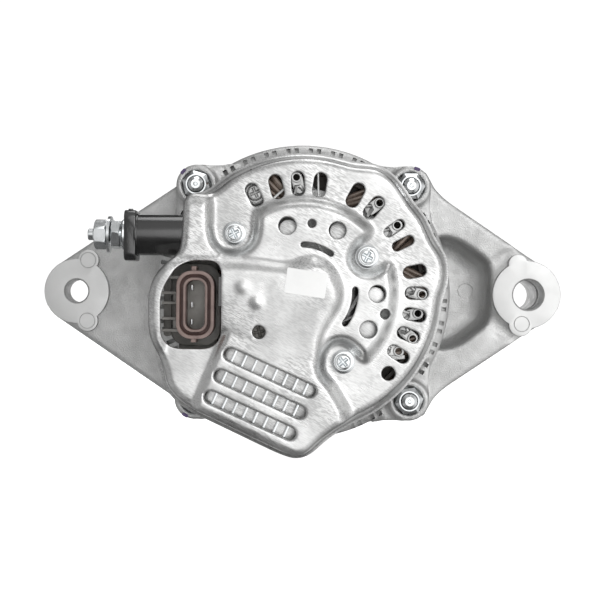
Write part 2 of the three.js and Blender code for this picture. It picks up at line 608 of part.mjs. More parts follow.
add("rotor_shaft", rotorShaft(), STEEL);
add("claw_pole_front", poleHalf(ROTOR.front, ROTOR.front - 10, ROTOR.rear + 2, 8 + GAP / 2, 0), IRON);
add("claw_pole_rear", poleHalf(ROTOR.rear, ROTOR.rear + 10, ROTOR.front - 2, 8 - GAP / 2, 30), IRON);
add("field_coil", ring(ROTOR.core + GAP, 36.8, ROTOR.rear + 10 + GAP, ROTOR.front - 10 - GAP, 36), COPPER);
add("front_fan", fan(ROTOR.front + GAP, 1, 9, 35), STEEL);
add("rear_fan", fan(ROTOR.rear - GAP, -1, 9, 35), STEEL);
add("slip_ring_hub", slipRingHub(), BLACK);
add("slip_ring_inner", slipRing(SLIP.inner), COPPER);
add("slip_ring_outer", slipRing(SLIP.outer), COPPER);
bearing("front", FRONT_BEARING);
bearing("rear", REAR_BEARING);
add("bearing_retainer", bearingRetainer(), STEEL);
retainerPlaces.forEach((place, i) => add("retainer_screw_" + (i + 1), retainerScrew(place), ZINC));
add("shaft_spacer", shaftSpacer(), STEEL);
add("pulley", pulley(), STEEL);
add("pulley_washer", pulleyWasher(), ZINC);
add("pulley_nut", pulleyNut(), ZINC);

add("rear_cover", rearCover(), SHEET);
COVER_SCREWS.forEach((place, i) => add("cover_screw_" + (i + 1), coverScrew(place), ZINC));
add("rating_label", ratingLabel(), WHITE);
add("charging_stud", chargingStud(), ZINC);
add("charging_insulator", terminalInsulator(), BLACK);
add("charging_inner_nut", terminalNut(69 + GAP, 72.6), ZINC);
add("charging_spring_washer", springWasher(), ZINC);
add("charging_outer_nut", terminalNut(74.4, 79), ZINC);
add("regulator", regulator(), BROWN);
add("regulator_heat_sink", regulatorHeatSink(), CAST);
socketPinPlaces.forEach((place, i) => add("socket_pin_" + (i + 1), socketPin(place), ZINC));
add("brush_holder", brushHolder(), BLACK);
add("brush_inner", brush(SLIP.inner), CARBON);
add("brush_outer", brush(SLIP.outer), CARBON);
add("brush_spring_inner", brushSpring(SLIP.inner), STEEL);
add("brush_spring_outer", brushSpring(SLIP.outer), STEEL);
add("rectifier_plate_negative", rectifierPlate([-28.4, -26.4], [-58, 120], [24, 47], NEGATIVE_DIODES), CAST);
add("rectifier_plate_positive", rectifierPlate([-36, -34], [-56, 145], [24, 44], POSITIVE_DIODES), CAST);
add("terminal_block", terminalBlock(), BLACK);

export default alternator;
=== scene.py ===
"""The looks of a car alternator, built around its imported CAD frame.

Shapes are made in millimetres in the CAD's own axes: the shaft lies on Y with the pulley at +Y, Z is up,
and the rear cover faces -Y. A shape is (vertices, faces) or a mesh until piece() makes it an object.
"""
import math

import bmesh
import bpy
import numpy as np
from mathutils import Matrix, Vector
from mathutils.geometry import delaunay_2d_cdt, tessellate_polygon


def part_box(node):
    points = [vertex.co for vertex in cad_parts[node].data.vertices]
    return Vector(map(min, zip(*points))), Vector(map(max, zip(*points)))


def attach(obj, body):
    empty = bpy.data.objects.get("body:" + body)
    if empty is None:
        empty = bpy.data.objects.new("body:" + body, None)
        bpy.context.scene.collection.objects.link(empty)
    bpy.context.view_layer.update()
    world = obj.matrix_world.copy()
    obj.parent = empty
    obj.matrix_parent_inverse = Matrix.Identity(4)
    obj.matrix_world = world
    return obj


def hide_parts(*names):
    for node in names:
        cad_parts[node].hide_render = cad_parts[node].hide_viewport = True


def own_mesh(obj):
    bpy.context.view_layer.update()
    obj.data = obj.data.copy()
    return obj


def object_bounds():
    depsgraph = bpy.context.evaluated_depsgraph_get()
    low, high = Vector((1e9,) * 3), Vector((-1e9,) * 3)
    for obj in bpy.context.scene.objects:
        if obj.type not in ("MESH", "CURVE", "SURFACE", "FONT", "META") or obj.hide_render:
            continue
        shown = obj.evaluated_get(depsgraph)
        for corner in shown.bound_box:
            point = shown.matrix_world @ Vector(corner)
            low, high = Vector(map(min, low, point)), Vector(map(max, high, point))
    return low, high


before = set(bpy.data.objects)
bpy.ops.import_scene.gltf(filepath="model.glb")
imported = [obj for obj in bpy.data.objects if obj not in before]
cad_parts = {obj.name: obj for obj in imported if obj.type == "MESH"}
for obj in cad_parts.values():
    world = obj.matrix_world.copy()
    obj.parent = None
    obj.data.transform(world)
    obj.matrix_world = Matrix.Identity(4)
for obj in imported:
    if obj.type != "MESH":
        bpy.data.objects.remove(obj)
cad_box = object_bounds()

# ---------- driving dimensions, in millimetres ----------
MM = 0.001
GAP = 0.3

EAR_SPAN, EAR_RADIUS, EAR_PAD, EAR_SLOPE = 92, 13.6, 2.5, 34
EAR_THIN, EAR_THICK = 12, 40
EAR_ROUND_RIGHT = 91.3  # where the right ear's round end is centred, a little nearer the shaft than its hole
EAR_HOLE_LEFT, EAR_HOLE_RIGHT = 4.6, 6.1
SHELL_RADIUS, SHELL_BORE, SHELL_SPLIT, SHELL_FRONT, SHELL_REAR = 59.3, 56.5, -4, 38, -24
BOLT_PLACE, BOLT_BOSS, BOLT_RADIUS, BOLT_FRONT, BOLT_REAR = 42.3, 9, 3, 38, -13.3
BEARING_FRONT_END, BEARING_BORE, REAR_HUB_END = 50.4, 23.8, -35
CAST_VOXEL = 0.8
STATOR_SLOTS, WINDING_INNER, WINDING_OUTER = 36, 46.5, 52
ROTOR_FRONT, ROTOR_REAR = 26, -10
SHAFT_THREAD = 7
PULLEY_RADIUS, PULLEY_REAR, PULLEY_FRONT = 34.5, 53, 73
TERMINAL_Y, TERMINAL_Z, TERMINAL_TUBE, TERMINAL_STUD = -36, 21.3, 7.75, 3
SOCKET_X, SOCKET_Z, SOCKET_MOUTH, SOCKET_FLOOR, SOCKET_PITCH = -39.8, -5, -49.6, -39, 6.4
FIN_TURN, FIN_PITCH, FIN_COUNT, FIN_X, FIN_Z, FIN_TOP = -24.3, 4.2, 8, -15.6, -37.9, -46
SCREW_PLACES = [(-25.8, 21.8), (24.1, 13.5), (15.3, -25.9)]

COVER_RIM, COVER_RING, COVER_SHEET = -24.3, -42.4, 1.2
COVER_FLANGE, COVER_DRAFT, COVER_SHOULDER = 1.5, 2.2, 2.8
FACE_RISE, PANEL_RISE, DOME_RISE = 4.6, 7.2, 8.6


# ---------- plane geometry ----------
def polar(radius, degrees):
    angle = math.radians(degrees)
    return (radius * math.cos(angle), radius * math.sin(angle))


def arc(radius, start, end, count, centre=(0, 0)):
    """Points along an arc, from one angle in degrees to another."""
    angles = [start + (end - start) * i / (count - 1) for i in range(count)]
    return [(centre[0] + polar(radius, a)[0], centre[1] + polar(radius, a)[1]) for a in angles]


def circle(radius, centre=(0, 0), count=32):
    return arc(radius, 0, 360 - 360 / count, count, centre)


def stadium(start, end, width):
    """A slot with round ends, anticlockwise."""
    count = 10
    angle = math.degrees(math.atan2(end[1] - start[1], end[0] - start[0]))
    return (arc(width / 2, angle + 90, angle + 270, count, start)
            + arc(width / 2, angle - 90, angle + 90, count, end))


def rounded_box(centre, width, height, corner):
    count = 8
    across, up = width / 2 - corner, height / 2 - corner
    places = [(across, up, 0), (-across, up, 90), (-across, -up, 180), (across, -up, 270)]
    return [point for x, z, turn in places
            for point in arc(corner, turn, turn + 90, count, (centre[0] + x, centre[1] + z))]


def bent_slot(radius, start, end, width):
    """A slot that follows an arc about the origin."""
    half = width / 2
    return (arc(radius + half, start, end, 14) + arc(half, end, end + 180, 7, polar(radius, end))[1:-1]
            + arc(radius - half, end, start, 14)
            + arc(half, start + 180, start + 360, 7, polar(radius, start))[1:-1])


def rounded(points, radius, steps=3, closed=True):
    """The outline with each corner eased into a short curve."""
    result = []
    count = len(points)
    for i, point in enumerate(points):
        if not closed and i in (0, count - 1):
            result.append(tuple(point))
            continue
        here = Vector(point)
        before = Vector(points[i - 1]) - here
        after = Vector(points[(i + 1) % count]) - here
        reach = min(radius, 0.45 * before.length, 0.45 * after.length)
        start = here + before.normalized() * reach
        end = here + after.normalized() * reach
        for k in range(steps + 1):
            t = k / steps
            result.append(tuple(start * (1 - t) ** 2 + here * 2 * t * (1 - t) + end * t * t))
    return result


def resampled(loop, spacing):
    """The closed loop as evenly spaced points."""
    loop = np.array(loop, float)
    closed = np.vstack([loop, loop[:1]])
    along = np.concatenate([[0], np.cumsum(np.linalg.norm(np.diff(closed, axis=0), axis=1))])
    count = max(8, round(along[-1] / spacing))
    wanted = np.arange(count) * along[-1] / count
    return np.column_stack([np.interp(wanted, along, closed[:, k]) for k in (0, 1)])


def eased(loop, width):
    """Values round a closed loop, averaged with their neighbours over a width in points."""
    reach = int(3 * width)
    shifts = range(-reach, reach + 1)
    weights = np.exp(-0.5 * (np.array(shifts) / width) ** 2)
    total = sum(w * np.roll(loop, s, axis=0) for w, s in zip(weights, shifts))
    return total / weights.sum()


def signed_area(loop):
    x, z = np.array(loop, float).T
    return 0.5 * float(np.sum(x * np.roll(z, -1) - np.roll(x, -1) * z))


def anticlockwise(loop):
    return np.array(loop if signed_area(loop) > 0 else loop[::-1], float)


def loop_normals(loop):
    """Directions out of an anticlockwise loop."""
    along = np.roll(loop, -1, axis=0) - np.roll(loop, 1, axis=0)
    normal = np.column_stack([along[:, 1], -along[:, 0]])
    return normal / np.linalg.norm(normal, axis=1, keepdims=True)


def distance_inside(points, outline):
    """How far each point lies inside the outline; negative outside it."""
    start = np.array(outline, float)
    edge = np.roll(start, -1, axis=0) - start
    offset = points[:, None] - start[None]
    share = np.clip((offset * edge).sum(2) / (edge ** 2).sum(1), 0, 1)
    distance = np.linalg.norm(offset - share[..., None] * edge, axis=2).min(1)
    end = start + edge
    above = (start[None, :, 1] <= points[:, None, 1]) != (end[None, :, 1] <= points[:, None, 1])
    slope = np.where(edge[:, 1] == 0, 1e-9, edge[:, 1])
    crossing = start[None, :, 0] + (points[:, None, 1] - start[None, :, 1]) * edge[:, 0] / slope
    inside = (above & (crossing > points[:, None, 0])).sum(1) % 2 == 1
    return np.where(inside, distance, -distance)


# ---------- shapes ----------
def about_y(x=0, z=0):
    return lambda u, v, along: (x + u, along, z + v)


def terminal_line(u, v, along):
    """A place given across and along the charging terminal, which points along -X."""
    return (-along, TERMINAL_Y + u, TERMINAL_Z + v)


def lathe(profile, steps=96, place=about_y(), limit=None):
    """(radius, along) points turned about an axis: they start and end on it, or close on themselves."""
    vertices = []
    for radius, along in profile:
        for k in range(steps):
            angle = 2 * math.pi * k / steps
            reach = min(radius, limit(angle)) if limit else radius
            vertices.append(place(reach * math.cos(angle), reach * math.sin(angle), along))
    count = len(profile)
    last = count - 1 if profile[0][0] == 0 else count
    faces = [(i * steps + k, i * steps + (k + 1) % steps,
              (i + 1) % count * steps + (k + 1) % steps, (i + 1) % count * steps + k)
             for i in range(last) for k in range(steps)]
    return vertices, faces


def turned(profile, bevel=0.4, steps=96, place=about_y()):
    """A lathe shape with its corners eased."""
    closed = profile[0][0] != 0
    return lathe(rounded(profile, bevel, 3, closed), steps, place)


def capped(*profile):
    """The profile with its two ends run in to the axis."""
    return [(0, profile[0][1]), *profile, (0, profile[-1][1])]


def rod(radius, low, high, place=about_y(), bevel=0.4, steps=48):
    return turned(capped((radius, low), (radius, high)), bevel, steps, place)


def tube_ring(inner, outer, low, high, place=about_y(), bevel=0.3, steps=72):
    return turned([(inner, low), (outer, low), (outer, high), (inner, high)], bevel, steps, place)


def hexagon(apothem, turn=0):
    """The reach of a six-sided outline at an angle, for a lathe's limit."""
    def reach(angle):
        folded = (math.degrees(angle) + turn) % 60 - 30
        return apothem / math.cos(math.radians(folded))
    return reach


def nut(apothem, low, high, bore, place, turn):
    """A six-sided nut whose corners are chamfered by a cone, with a chamfered bore."""
    corner = apothem / math.cos(math.radians(30)) + 0.01
    drop = (corner - apothem) * 0.62
    steps = 5
    lower = [(apothem + (corner - apothem) * k / steps, low + drop * (k / steps) ** 1.3)
             for k in range(steps + 1)]
    upper = [(radius, low + high - along) for radius, along in reversed(lower)]
    profile = [(bore + 0.5, low), (apothem - 0.5, low), *lower, *upper, (apothem - 0.5, high),
               (bore + 0.5, high), (bore, high - 0.5), (bore, low + 0.5)]
    return lathe(profile, 144, place, hexagon(apothem, turn))


def ridges(radius, low, count, pitch, depth, shares):
    """Thread ridges for a lathe profile; shares of the pitch say where each has its root, crest and root."""
    reaches = (radius - depth, radius, radius, radius - depth)
    return [(reach, low + i * pitch + share * pitch)
            for i in range(count) for reach, share in zip(reaches, shares)]


def threaded(radius, low, high, pitch, depth, tip):
    """Half the section of a threaded rod with a tapered tip, from low to high, for a lathe profile."""
    count = int((high - low - tip) / pitch)
    thread = ridges(radius, low, count, pitch, depth, (0.06, 0.42, 0.56, 0.94))
    return thread + [(radius - depth, high - tip), (radius - depth - 0.3, high)]


def edge_rows(low, high, bevel):
    """(offset, height) rows up a wall whose two edges are rounded."""
    steps = 3
    turns = [math.pi / 2 * k / steps for k in range(steps + 1)] if bevel else [math.pi / 2]
    rise = [(-bevel * (1 - math.sin(a)), low + bevel * (1 - math.cos(a))) for a in turns]
    return rise + [(offset, low + high - height) for offset, height in reversed(rise)]


def plate(outline, low, high, holes=(), bevel=0.3, place=about_y(), draft=0.0):
    """A flat piece with rounded edges; draft widens it towards high."""
    loops = [anticlockwise(outline)] + [anticlockwise(hole)[::-1] for hole in holes]
    vertices, faces, first, last = [], [], [], []
    rows = edge_rows(low, high, bevel)
    for loop in loops:
        count = len(loop)
        normals = loop_normals(loop)
        start = len(vertices)
        for offset, height in rows:
            lean = draft * (height - low) / (high - low)
            vertices += [place(x, z, height) for x, z in loop + normals * (offset + lean)]
        for r in range(len(rows) - 1):
            base = start + r * count
            faces += [(base + i, base + (i + 1) % count, base + count + (i + 1) % count, base + count + i)
                      for i in range(count)]
        first.append(range(start, start + count))
        last.append(range(len(vertices) - count, len(vertices)))
    for ends in (first, last):
        corners = [[Vector(vertices[i]) for i in end] for end in ends]
        flat = [i for end in ends for i in end]
        faces += [tuple(flat[i] for i in triangle) for triangle in tessellate_polygon(corners)]
    return vertices, faces


def tube(points, radius, sides):
    """A wire along the points, closed at both ends."""
    points = [Vector(p) for p in points]
    tangent = (points[1] - points[0]).normalized()
    across = tangent.orthogonal().normalized()
    vertices = []
    for i, point in enumerate(points):
        ahead = points[min(i + 1, len(points) - 1)] - points[max(i - 1, 0)]
        tangent = ahead.normalized()
        across = (across - tangent * across.dot(tangent)).normalized()
        up = tangent.cross(across)
        for k in range(sides):
            angle = 2 * math.pi * k / sides
            vertices.append(tuple(point + (across * math.cos(angle) + up * math.sin(angle)) * radius))
    faces = [(i * sides + k, i * sides + (k + 1) % sides, (i + 1) * sides + (k + 1) % sides,
              (i + 1) * sides + k) for i in range(len(points) - 1) for k in range(sides)]
    faces += [tuple(range(sides)), tuple(range(len(vertices) - sides, len(vertices)))]
    return vertices, faces


def together(*shapes):
    """Several shapes as one list of vertices and one of faces."""
    vertices, faces = [], []
    for more, sides in shapes:
        faces += [tuple(i + len(vertices) for i in face) for face in sides]
        vertices += more
    return vertices, faces


def block(x, y, z, bevel=0.3):
    outline = [(x[0], z[0]), (x[1], z[0]), (x[1], z[1]), (x[0], z[1])]
    return plate(outline, y[0], y[1], bevel=bevel)


def turned_about_y(shape, degrees, shift=(0, 0, 0)):
    """The shape turned anticlockwise as seen along +Y, then moved."""
    turn = Matrix.Rotation(-math.radians(degrees), 3, "Y")
    vertices, faces = shape
    return [tuple(turn @ Vector(v) + Vector(shift)) for v in vertices], faces


# ---------- meshes and pieces ----------
def mesh_of(name, shape):
    if isinstance(shape, bpy.types.Mesh):
        return shape
    mesh = bpy.data.meshes.new(name)
    mesh.from_pydata(shape[0], [], shape[1])
    work = bmesh.new()
    work.from_mesh(mesh)
    bmesh.ops.remove_doubles(work, verts=work.verts, dist=1e-4)
    bmesh.ops.dissolve_degenerate(work, edges=work.edges, dist=1e-5)
    bmesh.ops.recalc_face_normals(work, faces=work.faces)
    work.to_mesh(mesh)
    work.free()
    return mesh


def added(name, data):
    """A new object in the scene."""
    made = bpy.data.objects.new(name, data)
    bpy.context.scene.collection.objects.link(made)
    return made


def with_modifiers(mesh, modifiers):
    """The mesh after a list of (type, settings) modifiers."""
    carrier = added("work", mesh)
    for kind, settings in modifiers:
        modifier = carrier.modifiers.new(kind, kind)
        for key, value in settings.items():
            setattr(modifier, key, value)
    ready = carrier.evaluated_get(bpy.context.evaluated_depsgraph_get())
    result = bpy.data.meshes.new_from_object(ready)
    bpy.data.objects.remove(carrier)
    return result


def combined(operation, base, *tools):
    """The base joined with, or cut by, the other shapes."""
    helpers = [added("tool", mesh_of("tool", tool)) for tool in tools]
    steps = [("BOOLEAN", {"object": helper, "operation": operation, "solver": "MANIFOLD"})
             for helper in helpers]
    result = with_modifiers(mesh_of("base", base), steps)
    for helper in helpers:
        bpy.data.objects.remove(helper)
    return result


def joined(base, *tools):
    return combined("UNION", base, *tools)


def cut(base, *tools):
    return combined("DIFFERENCE", base, *tools)


def cast(mesh, rounds, keep):
    """The mesh with the soft edges of a casting, thinned to a share of its faces."""
    return with_modifiers(mesh, [
        ("REMESH", {"mode": "VOXEL", "voxel_size": CAST_VOXEL, "adaptivity": 0.0}),
        ("SMOOTH", {"factor": 0.5, "iterations": rounds}),
        ("DECIMATE", {"ratio": keep}),
    ])


def piece(name, shape, material, body="housing", replaces=(), sharp=32, second=None):
    """A finished object: in metres, smooth but for its sharp edges, and riding on its body.

    second is another material and the test, of a face's centre and normal, for the faces that take it."""
    mesh = mesh_of(name, shape)
    mesh.materials.clear()
    mesh.materials.append(material)
    if second:
        mesh.materials.append(second[0])
        for face in mesh.polygons:
            face.material_index = int(second[1](face.center, face.normal))
    mesh.transform(Matrix.Scale(MM, 4))
    mesh.shade_smooth()
    mesh.set_sharp_from_angle(angle=math.radians(sharp))
    made = added(name, mesh)
    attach(made, body)
    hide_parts(*replaces)
    return made


def fine(cad_name, shape, material, body="housing", second=None):
    """The piece that stands for one CAD node and is named after it."""
    return piece(f"{cad_name}_fine", shape, material, body, [cad_name], second=second)


# ---------- materials ----------
def node(material, kind, settings=None, **inputs):
    """Adds a node. An input given as a socket is linked, and any other value is set."""
    made = material.node_tree.nodes.new("ShaderNode" + kind)
    for key, value in (settings or {}).items():
        setattr(made, key, value)
    for name, value in inputs.items():
        socket = made.inputs[name.replace("_", " ")]
        if isinstance(value, bpy.types.NodeSocket):
            material.node_tree.links.new(value, socket)
        else:
            socket.default_value = value
    return made


def noise(material, size, detail, turn=0.0):
    """Noise between 0 and 1 whose features have a size in millimetres along X, Y and Z."""
    place = node(material, "TexCoord").outputs["Object"]
    stretch = node(material, "Mapping", {"vector_type": "TEXTURE"}, Vector=place,
                   Rotation=(0, math.radians(turn), 0), Scale=[s * MM for s in size])
    return node(material, "TexNoise", Vector=stretch.outputs[0], Scale=1.0, Detail=detail).outputs[0]


def ramp(material, value, low, high, first=0.3, last=0.7):
    """The value spread between two numbers."""
    return node(material, "MapRange", {"interpolation_type": "SMOOTHSTEP"}, Value=value, From_Min=first,
                From_Max=last, To_Min=low, To_Max=high).outputs[0]


def blend_colour(material, share, dark, light):
    mixed = node(material, "Mix", {"data_type": "RGBA"}, Factor=share)
    for side, colour in (("A", dark), ("B", light)):
        sockets = [s for s in mixed.inputs if s.name == side and s.type == "RGBA"]
        sockets[0].default_value = (*colour, 1)
    return [s for s in mixed.outputs if s.type == "RGBA"][0]


def finish(name, slot, dark, light, rough, metallic=0.0, patch=12.0, grain=(0.6, 0.6, 0.6), relief=0.02,
           turn=0.0, streak=0.0, coat=0.0, ior=1.5):
    """A node material: colour and roughness drift in patches, and fine grain stands out as relief.

    patch and grain are sizes in millimetres and relief is the height of the grain. streak is how far the
    grain darkens the colour, in patches.
    """
    material = bpy.data.materials.new(name)
    material.use_nodes = True
    material["slot"] = slot
    shader = material.node_tree.nodes["Principled BSDF"]
    link = material.node_tree.links.new
    fine = noise(material, grain, 3.0, turn)
    share = ramp(material, noise(material, (patch,) * 3, 3.0), 0.35, 1.0)
    where = ramp(material, noise(material, (patch * 1.7,) * 3, 2.0), 0.3, 1.0, 0.4, 0.6)
    marks = node(material, "Math", {"operation": "MULTIPLY"})
    link(ramp(material, fine, streak, 0, 0.36, 0.6), marks.inputs[0])
    link(where, marks.inputs[1])
    total = node(material, "Math", {"operation": "SUBTRACT", "use_clamp": True})
    link(share, total.inputs[0])
    link(marks.outputs[0], total.inputs[1])
    link(blend_colour(material, total.outputs[0], dark, light), shader.inputs["Base Color"])
    blotch = noise(material, (patch * 0.4,) * 3, 4.0)
    link(ramp(material, blotch, rough[0], rough[1]), shader.inputs["Roughness"])
    bump = node(material, "Bump", Height=fine, Strength=1.0, Distance=relief * MM)
    link(bump.outputs[0], shader.inputs["Normal"])
    shader.inputs["Metallic"].default_value = metallic
    shader.inputs["Coat Weight"].default_value = coat
    shader.inputs["IOR"].default_value = ior
    return material


def grey(value):
    return (value, value * 1.002, value * 0.995)


CAST = finish("cast aluminium", "cast_aluminium", grey(0.46), grey(0.6), (0.38, 0.52), 0.85,
              9, (0.5, 0.5, 0.5), 0.16, streak=0.6)
MACHINED = finish("machined aluminium", "cast_aluminium", grey(0.62), grey(0.68), (0.42, 0.5), 0.85,
                  14, (6, 6, 0.35), 0.006, 20)
SHEET = finish("zinc coated sheet", "cover_sheet", grey(0.5), grey(0.84), (0.26, 0.4), 0.93,
               16, (0.38, 0.38, 2.0), 0.016, -62, streak=1.0)
ZINC = finish("bright zinc plate", "zinc_plate", (0.66, 0.68, 0.69), (0.82, 0.84, 0.85), (0.13, 0.2), 0.95,
              6, (0.8, 0.8, 0.8), 0.0012, streak=0.05)
STEEL = finish("turned steel", "steel", grey(0.35), grey(0.55), (0.25, 0.4), 1.0, 8, (3, 0.25, 3), 0.006,
               streak=0.3)
PULLEY_STEEL = finish("pulley steel", "pulley_steel", grey(0.3), grey(0.5), (0.28, 0.45), 1.0,
                      9, (4, 0.3, 4), 0.01, streak=0.3)
CORE = finish("core steel", "core_steel", (0.09, 0.085, 0.08), (0.2, 0.19, 0.18), (0.5, 0.7), 0.8,
              6, (3, 0.5, 3), 0.05, streak=0.3)
COPPER = finish("enamelled copper", "copper", (0.30, 0.10, 0.04), (0.52, 0.22, 0.10), (0.22, 0.4), 0.75,
                5, (1, 1, 1), 0.01, coat=0.4)
LACQUER = finish("lacquered lead", "copper", (0.06, 0.045, 0.036), (0.16, 0.12, 0.095), (0.25, 0.4), 0.3,
                 4, (1, 1, 1), 0.02, coat=0.5)
RING_COPPER = finish("slip ring copper", "copper", (0.6, 0.3, 0.16), (0.75, 0.42, 0.25), (0.2, 0.32), 1.0,
                     5, (4, 0.2, 4), 0.004)
CARBON = finish("brush carbon", "carbon", grey(0.02), grey(0.05), (0.6, 0.8), 0.1, 4, (0.3, 0.3, 0.3), 0.03)
BLACK = finish("black plastic", "black_plastic", grey(0.004), grey(0.01), (0.1, 0.18), 0.0,
               8, (0.5, 0.5, 0.5), 0.03, ior=1.9)
DARK = finish("dark resin", "black_plastic", (0.02, 0.017, 0.014), (0.055, 0.047, 0.04), (0.45, 0.7), 0.0,
              4, (1.2, 1.2, 1.2), 0.06)
BROWN = finish("brown plastic", "brown_plastic", (0.12, 0.085, 0.078), (0.2, 0.145, 0.13), (0.42, 0.58), 0.0,
               5, (0.6, 0.6, 0.6), 0.015)
# the brown plastic made darker: painted shade in the groove round the connector's mouth
PAINTED_SHADE_GROOVE = finish("connector groove painted shade", "brown_plastic", (0.06, 0.03, 0.025), (0.1, 0.05, 0.042),
                (0.4, 0.55), 0.0, 5, (0.6, 0.6, 0.6), 0.015)
# grey plastic made paler than its own tone: painted light on the deep cavity's walls and floor
CAVITY_PAINTED_LIGHT = finish("connector cavity painted light", "brown_plastic", (0.24, 0.235, 0.215), (0.36, 0.35, 0.33),
                (0.42, 0.6), 0.0, 5, (0.8, 0.8, 0.8), 0.02)
REGULATOR = finish("regulator resin", "brown_plastic", (0.14, 0.135, 0.125), (0.25, 0.24, 0.225),
                   (0.4, 0.6), 0.0, 5, (0.9, 0.9, 0.9), 0.03)
VIOLET = finish("violet paint", "label_paper", (0.05, 0.03, 0.09), (0.1, 0.07, 0.16), (0.5, 0.62), 0.0,
                4, (0.4, 0.4, 0.4), 0.02)
PAPER = finish("label paper", "label_paper", grey(0.70), grey(0.75), (0.5, 0.62), 0.0,
               6, (0.15, 0.15, 0.15), 0.004)


# ---------- cast frames ----------
BOLT_PLACES = [(BOLT_PLACE * sx, BOLT_PLACE * sz) for sx, sz in ((1, 1), (-1, 1), (-1, -1), (1, -1))]
EAR_PINS = [(-87.4, 12.6), (-87.6, -12.1)]  # ejector pins of the left ear
ARM_POCKET = [(46, -23), (46, 23.5), (61, 23.3), (66, 21), (76, 14), (77.3, 9), (77.3, -8), (75.5, -12.5),
              (66, -20), (61, -22.3)]


def arm_outline(side):
    """An ear's round end and the two straight edges that run from it into the shell."""
    rise = math.radians(EAR_SLOPE)
    inner, root = 50, 30
    touch_x, touch_z = EAR_RADIUS * math.sin(rise), EAR_RADIUS * math.cos(rise)
    span = EAR_ROUND_RIGHT if side > 0 else EAR_SPAN
    height = touch_z + (span + touch_x - inner) * math.tan(rise)
    end = arc(EAR_RADIUS, EAR_SLOPE - 90, 90 - EAR_SLOPE, 24, (span, 0))
    upper = [(inner, height), (root, height)]
    if side > 0:
        fillet = [(60.9, 0), (57.2, 0.3), (54.1, 1.4), (52.1, 3.6), (inner, 6)]
        upper = [(x, height - (x - inner) * math.tan(rise) + lift) for x, lift in fillet]
        upper.append((root, height + 6))
    lower = [(x, -z) for x, z in reversed(upper)]
    return [(side * x, z) for x, z in (*lower, *end, *upper)]


def boss_webs(low, high):
    """Fillets that lead from the shell's rim up to each bolt boss."""
    side = [(57, 18), (59.3, 15), (60.6, 11.5), (62.6, 8.8), (65.2, 6.3)]  # (radius, degrees away)
    outline = [(r, -a) for r, a in side] + [(r, a) for r, a in reversed(side)]
    return [plate([polar(r, middle + a) for r, a in outline], low, high, bevel=0.6)
            for middle in (45, 135, 225, 315)]


def bolt_holes(low, high):
    return [rod(BOLT_RADIUS + GAP, low - 1, high + 1, about_y(x, z), 0, 24) for x, z in BOLT_PLACES]


def window_cutters(low, high):
    """Blocks that open the sides of a frame between its bolts."""
    return [turned_about_y(block((50, 64), (low, high), (-6, 6), 1.2), middle + turn)
            for middle in (90, 270) for turn in (-27, -9, 9, 27)]


def rim_flat():
    """A cutter for the lower stretch of both frames' rims, which stands back a little."""
    return sector_plate(58.1, 66, -85, -61, SHELL_REAR - 1, BOLT_FRONT + 1)


def sector_plate(inner, outer, start, end, low, high, bevel=0.0):
    """A plate between two radii and two angles in degrees."""
    steps = max(6, int(abs(end - start) / 3))
    outline = arc(outer, start, end, steps) + arc(inner, end, start, steps)
    return plate(rounded(outline, 1.5), low, high, bevel=bevel)


def frame_vents(inner, outer, middles, half, low, high):
    """Eight wide openings in the end of a frame, as cutters."""
    return [sector_plate(inner, outer, a - half, a + half, low, high) for a in middles]


def ear_marks(places, radius):
    """Fine round witness lines left by ejector pins, as cutters."""
    half, depth = 0.16, 0.5
    return [tube_ring(radius - half, radius + half, -1, depth, about_y(x, z), 0, 32) for x, z in places]


def ear_hole(x, radius, depth):
    """A drilled hole with a small chamfer at its rear end, as a cutter."""
    profile = capped((radius + 1.6, -1), (radius, 0.6), (radius, depth + 1))
    return lathe(profile, 64, about_y(x))


def ear_pads():
    """Round machined pads behind the ears, about each hole and each ejector pin."""
    pads = [(-EAR_SPAN, 0, EAR_RADIUS - 0.4, 0.35, 96), (*EAR_PINS[0], 4.3, 0.3, 48),
            (*EAR_PINS[1], 4.3, 0.3, 48), (EAR_ROUND_RIGHT, 0, EAR_RADIUS + 0.3, 0.35, 96),
            (87.8, 12.4, 4.0, 0.3, 48), (89.0, -12.2, 4.8, 0.3, 48)]
    return [rod(radius, 0, EAR_PAD + 1.5, about_y(x, z), bevel, steps) for x, z, radius, bevel, steps in pads]


